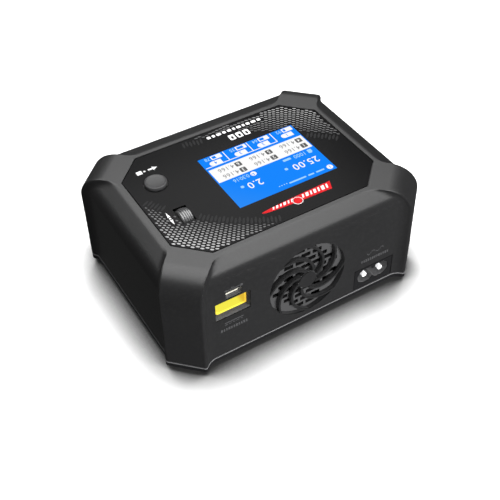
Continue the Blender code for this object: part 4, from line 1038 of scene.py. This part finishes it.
def channel_tabs():
    """Four channel tabs, the first one open, each with a numbered plug and a charge bar."""
    right, bottom = GLASS_HIGH.x - GLASS_LOW.x - 0.4, GLASS_LOW.y - GLASS_HIGH.y + 0.3
    half, line, edge, seams = 0.21, 0.42, -29.4, (11.9, 24.4, 36.6)
    lines = [rectangle(on_glass(x - half, bottom), on_glass(x + half, edge - line)) for x in seams]
    lines.append(rectangle(on_glass(seams[0] - half, edge - line), on_glass(right, edge)))
    lit("screen_tab_lines", lines, LIT_WHITE)
    plugs, cells, gaps = [], [], []
    tabs = ((5.6, 3.4, "92"), (18.2, 2.4, "64"), (30.1, 1.4, "35"), (42.8, 2.8, "78"))
    for channel, (x, full, value) in enumerate(tabs, 1):
        nose = arc((x + 1.5, -31.3), (1.45, 1.45), -pi / 2, pi / 2, 8)
        plugs.append([on_glass(*point) for point in [(x - 3.0, -32.75)] + nose + [(x - 3.0, -29.85)]])
        lit_number(f"screen_tab_{channel}", str(channel), LIT_BLUE, 1.9, x - 0.6, -32.25, 1)
        cells.append(rounded(on_glass(x - 2.1, -34.9), (5.2, 2.7), 0.3, 3))
        gaps.append(rectangle(on_glass(x - 4.7 + full, -35.75), on_glass(x - 0.1, -34.05)))
        lit_number(f"screen_charge_{channel}", value, LIT_PALE, 2.0, x + 1.0, -35.9)
    lit("screen_plugs", plugs, LIT_WHITE)
    lit("screen_batteries", cells, LIT_WHITE)
    lit("screen_battery_gaps", gaps, LIT_BLUE, 1)


# ---- button and wheel
def exit_button():
    """The keycap: a dished top with a rounded rim, its flange and its stem."""
    r, top, edge, hollow = BUTTON_RADIUS, cad("exit_button")[1].z, 0.75, 0.30
    rim = arc((r - edge, top - edge), (edge, edge), 0.0, pi / 2, 7)
    dish = [(r * f, top - hollow * (1 - f ** 2) - 0.05) for f in (0.80, 0.7, 0.55, 0.4, 0.25, 0.1)]
    profile = [(1.6, 45.4), (1.6, 48.6), (r + 1.2, 48.6), (r + 1.2, 49.9), (r, 49.9)] + rim + dish
    make("button_cap", turned(profile, BUTTON, "Z", 72), KEY, ["exit_button"], "button")


def scroll_wheel():
    """The ribbed wheel with its hub and axle, one solid turned about X."""
    r, half, axle = WHEEL_RADIUS, 2.65, 4.3
    ribs, groove = 5, 0.30
    end = [(0.8, -axle), (1.0, -axle + 0.2), (1.0, -half - 0.3), (2.2, -half), (r - 1.2, -half),
           (r - 0.8, -half + 0.15)]
    profile = end + [(r - 0.35, -half + 0.25)]
    margin, barrel = 0.25, 0.11                   # flat beside the ribs; how fast their crests fall away
    pitch = (2 * half - 2 * margin) / ribs
    for rib in range(ribs):
        start = -half + margin + rib * pitch
        crest = r - barrel * (rib - (ribs - 1) / 2) ** 2
        profile += [(crest - 0.08, start + 0.06), (crest, start + 0.16), (crest, start + pitch - 0.30),
                    (crest - 0.08, start + pitch - 0.20)]
        if rib < ribs - 1:
            profile += [(crest - groove, start + pitch - 0.14), (crest - groove, start + pitch - 0.02)]
    profile += [(radius, -station) for radius, station in reversed(end)]
    stations = [(radius, WHEEL.x + station) for radius, station in profile]
    make("wheel_ribbed", turned(stations, (WHEEL.y, WHEEL.z), "X", 96), WHEEL_BLACK,
         ["scroll_wheel"], "wheel")


# ---- rear connectors
def dc_input():
    """The DC input's hooded shell, open to the rear, and its two gold pins."""
    low, high, _ = cad("dc_input_socket")
    front, back, middle = high.y, low.y, (DC.x, DC.z)
    hood_wall, hood_depth, bore_radius = 0.9, 8.0, 2.05
    inner = connector_shell(middle, BULLET_SHELL, -hood_wall)
    cavity, bores = flared(inner, "Y", front - hood_depth, front, 0.2, 1), bmesh.new()
    pins = [(DC.x + side * BULLET_PITCH / 2, DC.z) for side in (-1, 1)]
    for pin in pins:
        rod(bore_radius, back - 1.0, front - hood_depth + 0.5, pin, "Y", 32, bores)
    hood = prism(connector_shell(middle, BULLET_SHELL), "Y", back, front)
    shell = make("dc_input_shell", hood, YELLOW_PAINTED_GLOW, ["dc_input_socket"],
                 cuts=[cavity, bores], bevel=0.12)
    # Its painted glow must not light the case around it.
    shell.visible_diffuse = False
    shell.visible_glossy = False
    for number, pin in enumerate(pins, 1):
        low, high, _ = cad(f"dc_input_pin_{number}")
        r, nose = 1.75, 0.6
        tip = arc((r - 0.5, high.y - nose), (0.5, nose), 0.0, pi / 2, 5)
        bullet = turned([(r, low.y)] + tip + [(0.55, high.y - 0.02)], pin, "Y", 40)
        make(f"dc_input_bullet_{number}", bullet, GOLD, [f"dc_input_pin_{number}"])


def usb_port():
    """The service port: a folded shell with a rolled mouth, its tongue and five contacts."""
    low, high, _ = cad("usb_port")
    face, middle = high.y, (USB.x, USB.z)
    sheet, depth, contact_pitch = 0.38, 5.0, 0.8
    outline = rounded(middle, USB_SIZE, 0.75)
    cavity = flared(grow(outline, -sheet), "Y", face - depth, face, 0.15, 1)
    make("usb_shell", prism(outline, "Y", low.y, face), PAINTED_LIGHT_PORT_SHELL, ["usb_port"], cuts=[cavity],
         bevel=0.06)
    tongue = prism(rounded(middle, (4.6, 0.7), 0.2, 3), "Y", face - depth - 0.3, face - 0.6)
    make("usb_tongue", tongue, DARK, bevel=0.05)
    for contact in range(5):
        x = USB.x + (contact - 2) * contact_pitch
        strip = prism(around((x, USB.z + 0.40), (0.4, 0.08)), "Y", face - 4.9, face - 0.9)
        make(f"usb_contact_{contact + 1}", strip, GOLD, bevel=0.03)


def figure_of_eight(margin):
    """The inlet's outline, grown by a margin: two round ends, notched above and below the middle."""
    x, z = AC.x, AC.z + AC_OFFSET
    top, waist = z + AC_LOBE, z + AC_LOBE * AC_WAIST
    notch = bezier((x + 1.9, top), (x + 1.55, top), (x + 1.3, z + AC_LOBE * 0.86), 3)
    notch += bezier((x + 0.55, waist + 0.3), (x + 0.3, waist), (x, waist), 3)
    half = arc((x + AC_PITCH / 2, z), (AC_LOBE, AC_LOBE), -pi / 2, pi / 2, 24)
    half += notch + [(2 * x - a, b) for a, b in notch[-2::-1]]
    return grow(half + [(2 * x - a, 2 * z - b) for a, b in half], margin)


def ac_inlet():
    """The mains inlet: block, figure-of-eight cavity with a liner painted lighter as light inside it, two
    round pins.
    """
    front, back = AC_HIGH.y, AC_LOW.y
    width, bottom, top = AC_BLOCK

    def eight(stations, closed=False):
        return swept("Y", [(figure_of_eight(margin), front + past) for margin, past in stations], closed)

    pins = [cad(f"ac_inlet_pin_{number}") for number in (1, 2)]
    cavity, bores = eight(((0.0, -9.5), (0.0, -0.2), (0.2, 0.0), (0.2, 0.5))), bmesh.new()
    for *_, pin in pins:
        rod(1.5, back - 1.0, front - 9.0, (pin.x, pin.z), "Y", 24, bores)
    block = prism(rounded((AC.x, AC.z), (width, top - bottom), 0.5, 3), "Y", back, front)
    make("ac_inlet_block", block, DARK, ["ac_inlet"], cuts=[cavity, bores])
    # Painted light: a pale liner stands for light on the cavity's walls.
    liner = eight(((-0.02, -9.3), (-0.02, -0.3), (-0.15, -3.0), (-0.15, -9.3)), closed=True)
    make("ac_inlet_liner", liner, PAINTED_LIGHT_LINER)
    for number, (low, high, pin) in enumerate(pins, 1):
        r, rise = 1.2, 0.35
        dome = arc((0.0, high.y - rise), (r, rise), 0.0, pi / 2 * 5 / 6, 5)
        bar = turned([(r, low.y)] + dome + [(0.1, high.y)], (pin.x, pin.z), "Y", 32)
        make(f"ac_pin_{number}", bar, PAINTED_LIGHT_PIN, [f"ac_inlet_pin_{number}"])


def rear_symbols():
    """Pad-printed symbols on the rear panel: DC and AC signs and rating bars, no lettering."""

    def on_panel(name, outlines):
        bm = bmesh.new()
        for outline in outlines:
            prism(outline, "Y", -0.10, 0.04, bm)
        for vert in bm.verts:
            vert.co.y += rear_face(vert.co.z)
        make(name, bm, PAD_INK)

    def dashes(x, z, width, count, height=0.45):
        pitch = width / count
        return [around((x - width / 2 + pitch * (i + 0.5), z), (pitch * (0.56 + 0.24 * (i % 3 == 1)), height))
                for i in range(count)]

    def wave(x, z, width, height):
        steps, line = 16, 0.4
        upper = [(x + width * (i / steps - 0.5), z + height * sin(2 * pi * i / steps) + line / 2)
                 for i in range(steps + 1)]
        return upper + [(a, b - line) for a, b in reversed(upper)]

    x, z = USB.x, USB.z + 3.6
    trident = [around((x, z), (6.4, 0.4)), rounded((x - 3.6, z), (1.3, 1.3), 0.6, 4),
               [(x + 3.2, z - 0.6), (x + 4.4, z), (x + 3.2, z + 0.6)],
               around((x + 0.6, z + 0.75), (1.2, 0.35)), around((x - 0.8, z - 0.75), (1.2, 0.35))]
    on_panel("service_port_symbol", trident)
    x, z = DC.x, TOP_Z - 29.2
    on_panel("dc_symbol", [around((x, z + 0.5), (9.0, 0.5))] + dashes(x, z - 0.6, 9.0, 5))
    on_panel("dc_rating_bars", dashes(x, TOP_Z - 32.6, 13.0, 11, 1.5))
    on_panel("ac_symbol", [wave(AC.x + side * 2.4, TOP_Z - 26.8, 4.4, 0.8) for side in (-1, 1)])
    on_panel("ac_rating_bars", dashes(AC.x, TOP_Z - 30.6, 15.0, 13, 1.5))


# ---- fan
def fan_blade(turn, front, back):
    """One cambered blade at a turn about the hub: eight sections, each steeper than the one outside it."""
    root, span, depth = 7.2, 11.0, front - back - 1.0
    rings = []
    for step in range(8):
        radius = root + span * step / 7
        reach = depth / 2 / tan(radians(56 - 12 * step / 7))
        upper, lower = [], []
        for along in [-1 + 2 * j / 8 for j in range(9)]:
            camber = 0.9 * (1 - along ** 2)
            thick = 0.42 * sqrt(max(0.05, 1 - along ** 2)) + 0.12
            station = (front + back) / 2 + along * depth / 2
            for side, edge in ((1, upper), (-1, lower)):
                angle = turn + (along * reach + camber + side * thick) / radius
                edge.append((FAN.x + radius * cos(angle), station, FAN.z + radius * sin(angle)))
        rings.append(upper + lower[::-1])
    return loft(rings)


def fan_rotor():
    """The fan's hub with a stepped cap, a small disc and seven cambered, pitched blades."""
    low, high, _ = cad("fan_rotor")
    front, back, middle = high.y, low.y, (FAN.x, FAN.z)
    hub = [(7.8, back), (7.8, front - 1.0)] + arc((7.1, front - 0.9), (0.7, 0.7), 0.0, pi / 2, 5)
    hub += [(6.2, front - 0.2), (6.0, front), (1.0, front)]
    blades = [fan_blade(2 * pi * i / 7, front, back) for i in range(7)]
    make("fan_rotor_bladed", turned(hub, middle, "Y", 64), FAN_BLACK, ["fan_rotor"],
         "fan_rotor", adds=blades, weighted=True)
    disc = rectangle((0.5, front - 0.02), (5.6, front + 0.05))
    make("fan_hub_label", turned(disc, middle, "Y", closed=True), ALUMINIUM,
         body="fan_rotor")


# ---- front connectors
def outputs():
    """Four battery outputs: shell, round sleeves, split gold contacts, number and polarity marks."""
    sleeve_radius, sleeve_depth = 2.75, 9.0
    for number, (low, high, centre) in enumerate(OUTPUTS, 1):
        x, z, front = centre.x, centre.z, low.y
        poles = [(x + side * BULLET_PITCH / 2, z) for side in (-1, 1)]
        sleeves = bmesh.new()
        for pole in poles:
            flared(circle(pole, sleeve_radius, 40), "Y", front + sleeve_depth, front, 0.3, -1, sleeves)
        shell = prism(connector_shell((x, z), BULLET_SHELL), "Y", front, high.y)
        make(f"output_shell_{number}", shell, YELLOW, [f"output_socket_{number}"],
             cuts=[sleeves], bevel=0.25, segments=3)
        for side, pole in zip(("left", "right"), poles):
            split_contact(f"output_contact_{number}_{side}", pole, front)
        polarity(number, x, z - 7.0)


def split_contact(name, pole, front):
    """A gold contact tube split lengthwise into four springs."""
    near, far = front + 0.8, front + 9.5
    outer, inner, slot = 2.45, 1.85, 0.4
    profile = [(outer, near + 0.15), (outer, far), (inner, far), (inner, near + 0.3), (inner + 0.15, near),
               (outer - 0.1, near)]
    slots = [prism(around(pole, size), "Y", near - 1.0, near + 5.0) for size in ((slot, 6.0), (6.0, slot))]
    make(name, turned(profile, pole, "Y", closed=True), GOLD, cuts=slots)


def polarity(number, x, z):
    """Printed plus and minus signs below an output and its channel number, on the front panel."""
    face, plus = -rear_face(z), x - 3.6
    signs = bmesh.new()
    for outline in (around((plus, z), (2.0, 0.4)), around((plus, z - 0.625), (0.4, 0.75)),
                    around((plus, z + 0.625), (0.4, 0.75)), around((x + 3.6, z), (2.0, 0.4))):
        prism(outline, "Y", face - 0.04, face + 0.10, signs)
    lean(signs, -1, z)
    make(f"output_polarity_{number}", signs, WHITE_INK)
    sign = digits(f"output_number_{number}", str(number), WHITE_INK, 3.2, (0, 0, 0), 1.0)
    z_base = 26.6
    face = -rear_face(z_base)
    sign.data.transform(Matrix(((1, 0, 0, (x - 1.1) * MM), (0, 0, -1, (face - 0.02) * MM),
                                (0, 1, 0, z_base * MM), (0, 0, 0, 1))))


def balance_sockets():
    """Four balance sockets: keyed white housings with seven tinned pins."""
    depth, key_inset, pin_pitch = 6.5, 3.6, 2.5
    for number, (low, high, centre) in enumerate(BALANCES, 1):
        x, z, front = centre.x, centre.z, low.y
        width, height = high.x - low.x, high.z - low.z
        mouth = rounded((x, z), (width - 1.8, height - 1.6), 0.2, 2)
        cavity = flared(mouth, "Y", front + depth, front, 0.2, -1)
        keys = bmesh.new()
        for key in (x - width / 2 + key_inset, x + width / 2 - key_inset):
            outline = around((key, z + height / 2 - 0.1), (1.8, 2.2))
            prism(outline, "Y", front - 1.0, front + 5.0, keys)
        make(f"balance_shell_{number}", prism(around((x, z), (width, height)), "Y", front, high.y), WHITE,
             [f"balance_socket_{number}"], cuts=[cavity, keys], bevel=0.12)
        pins = bmesh.new()
        for i in range(7):
            middle = (x + (i - 3) * pin_pitch, z)
            swept("Y", [(around(middle, (size, size)), front + past)
                        for past, size in ((6.8, 0.64), (1.7, 0.64), (1.3, 0.44), (1.1, 0.24))], bm=pins)
        make(f"balance_pins_{number}", pins, TIN)


# ---- underside
def feet():
    """Round rubber feet with an eased rim and two shallow grip rings."""
    for number, (low, high, centre) in enumerate(FEET, 1):
        r, bottom, top = (high.x - low.x) / 2, low.z, high.z
        profile = [(0.6, bottom + 0.15), (2.0, bottom + 0.15), (2.1, bottom), (3.2, bottom),
                   (3.3, bottom + 0.2), (3.8, bottom + 0.2), (3.9, bottom)]
        profile += arc((r - 0.5, bottom + 0.5), (0.5, 0.5), -pi / 2, 0.0, 5) + [(r, top), (0.6, top)]
        make(f"grip_foot_{number}", turned(profile, centre, "Z", 64), RUBBER,
             [f"rubber_foot_{number}"])


def case_screws():
    """Pan-head screws with a cross recess and a threaded shank."""
    arm, blade, pitch = 1.5, 0.32, 1.0
    plus = [(arm, -blade), (arm, blade), (blade, blade)]
    for _ in range(3):
        plus += [(-b, a) for a, b in plus[-3:]]
    for number, (low, high, centre) in enumerate(SCREWS, 1):
        bottom, top = low.z, high.z
        profile = [(0.5, bottom), (1.6, bottom + 0.02), (2.3, bottom + 0.25), (2.7, bottom + 0.7),
                   (2.7, bottom + 1.5), (1.3, bottom + 1.5)]
        for i in range(int((top - bottom - 4.0) / pitch)):
            start = bottom + 2.0 + i * pitch
            profile += [(1.02, start), (1.3, start + pitch * 0.5), (1.02, start + pitch * 0.98)]
        screw = turned(profile + [(0.9, top - 1.4), (0.3, top)], centre, "Z", 32)
        cross = loft([[(centre.x + a * share, centre.y + b * share, z) for a, b in plus]
                      for share, z in ((1.0, bottom - 0.3), (0.55, bottom + 1.1))])
        make(f"case_screw_cross_{number}", screw, STEEL, [f"case_screw_{number}"], cuts=[cross])


# ---- pieces inside
def dress_cad_nodes():
    """Procedural materials and eased edges on the CAD nodes that stay, by their slot in the record."""
    eased = {"circuit_board": 0.15, "aluminium": 0.15, "ferrite": 0.4, "dark_nylon": 0.2, "steel": 0.12,
             "film_yellow": 0.5, "copper": 0.3, "key_plastic": 0.15, "ribbon": 0.1, "screen_glass": 0.2,
             "ceramic": 0.15, "capacitor_sleeve": 0.2}
    for row in frame["record"]["subparts"]:
        node, slot = frame["nodes"][row["node"]], row["material_slot"]
        if node.hide_render:
            continue
        node.data.materials.clear()
        node.data.materials.append(SLOT_LOOKS[slot])
        if slot in eased:
            soften(node, eased[slot], 2, 40)


# ---- stage
def stage():
    """A white floor with a contact shadow painted into its colour, with the lights and the camera."""
    net = Net("studio_floor", roughness=0.9, specular=0.1)
    # Painted shadow: ambient occlusion darkens the floor's colour near the case.
    near = net.add("ShaderNodeAmbientOcclusion", {"Distance": 24 * MM}).outputs["AO"]
    pale = net.mix(net.noise(3.0, 2.0), grey(0.90, 0.90), grey(0.93, 0.93))
    net.set("Base Color", net.mix(net.remap(near, 0.0, 1.0, 0.48, 0.93), grey(0.06, 0.06), pale))
    mesh = finish_mesh(box((-3000, -3000, -20.0), (3000, 3000, 0.0)), "studio_floor")
    mesh.materials.append(net.material)
    floor = link("studio_floor", mesh)
    floor.visible_glossy = False
    floor.visible_diffuse = False
    lights()
    camera()


def area_light(name, place_at, target, size, power, glossy=True):
    """A soft rectangular light in metres, aimed at a target; a fill leaves no reflection of itself."""
    data = bpy.data.lights.new(name, "AREA")
    data.shape = "RECTANGLE"
    data.size, data.size_y = size
    data.energy = power
    light = link(name, data)
    light.location = place_at
    light.rotation_mode = "QUATERNION"
    light.rotation_quaternion = (Vector(place_at) - Vector(target)).to_track_quat("Z", "Y")
    light.visible_glossy = glossy


def lights():
    """A dim world that is lighter above, one large soft box and two low fills."""
    world = bpy.data.worlds.new("studio")
    world.use_nodes = True
    tree = world.node_tree
    height = tree.nodes.new("ShaderNodeSeparateXYZ")
    tree.links.new(tree.nodes.new("ShaderNodeTexCoord").outputs["Generated"], height.inputs[0])
    span = tree.nodes.new("ShaderNodeMapRange")
    for socket, value in (("From Min", -0.15), ("From Max", 0.5), ("To Min", 0.07), ("To Max", 0.10)):
        span.inputs[socket].default_value = value
    tree.links.new(height.outputs["Z"], span.inputs["Value"])
    tree.links.new(span.outputs[0], tree.nodes["Background"].inputs["Strength"])
    tree.nodes["Background"].inputs["Color"].default_value = (1.0, 1.0, 1.0, 1.0)
    bpy.context.scene.world = world
    area_light("softbox", (-0.09, -0.34, 0.80), (-0.09, -0.34, 0.0), (1.05, 1.08), 21.5)
    area_light("rear_fill", (-0.18, 1.0, 0.10), (0, 0, 0.03), (0.7, 0.16), 47.0, False)
    area_light("front_fill", (-0.15, -1.0, 0.06), (0, 0, 0.03), (0.8, 0.12), 7.0, False)


def camera():
    """The camera, looking down over the rear right corner."""
    azimuth, elevation, roll = radians(149.56), radians(44.52), radians(-1.25)
    distance, right_shift, up_shift = 373.34, 0.52, -33.81
    back = Vector((sin(azimuth) * cos(elevation), -cos(azimuth) * cos(elevation), sin(elevation)))
    level = Vector((0, 0, 1)).cross(back).normalized()
    rise = back.cross(level)
    right = cos(roll) * level + sin(roll) * rise
    up = -sin(roll) * level + cos(roll) * rise
    spot = Vector((0, 0, TOP_Z)) + back * distance + right * right_shift + up * up_shift
    data = bpy.data.cameras.new("camera")
    data.lens = 62.1
    data.sensor_width = 36.0
    data.clip_start = 0.01
    made = link("camera", data)
    made.matrix_world = Matrix.Translation(spot * MM) @ Matrix((right, up, back)).transposed().to_4x4()
    bpy.context.scene.camera = made
    bpy.context.scene.view_settings.view_transform = "Standard"


stage()
upper_shell()
lower_shell()
label()
halftone()
swoosh()
label_marks()
display()
exit_button()
scroll_wheel()
dc_input()
usb_port()
ac_inlet()
rear_symbols()
fan_rotor()
outputs()
balance_sockets()
feet()
case_screws()
dress_cad_nodes()
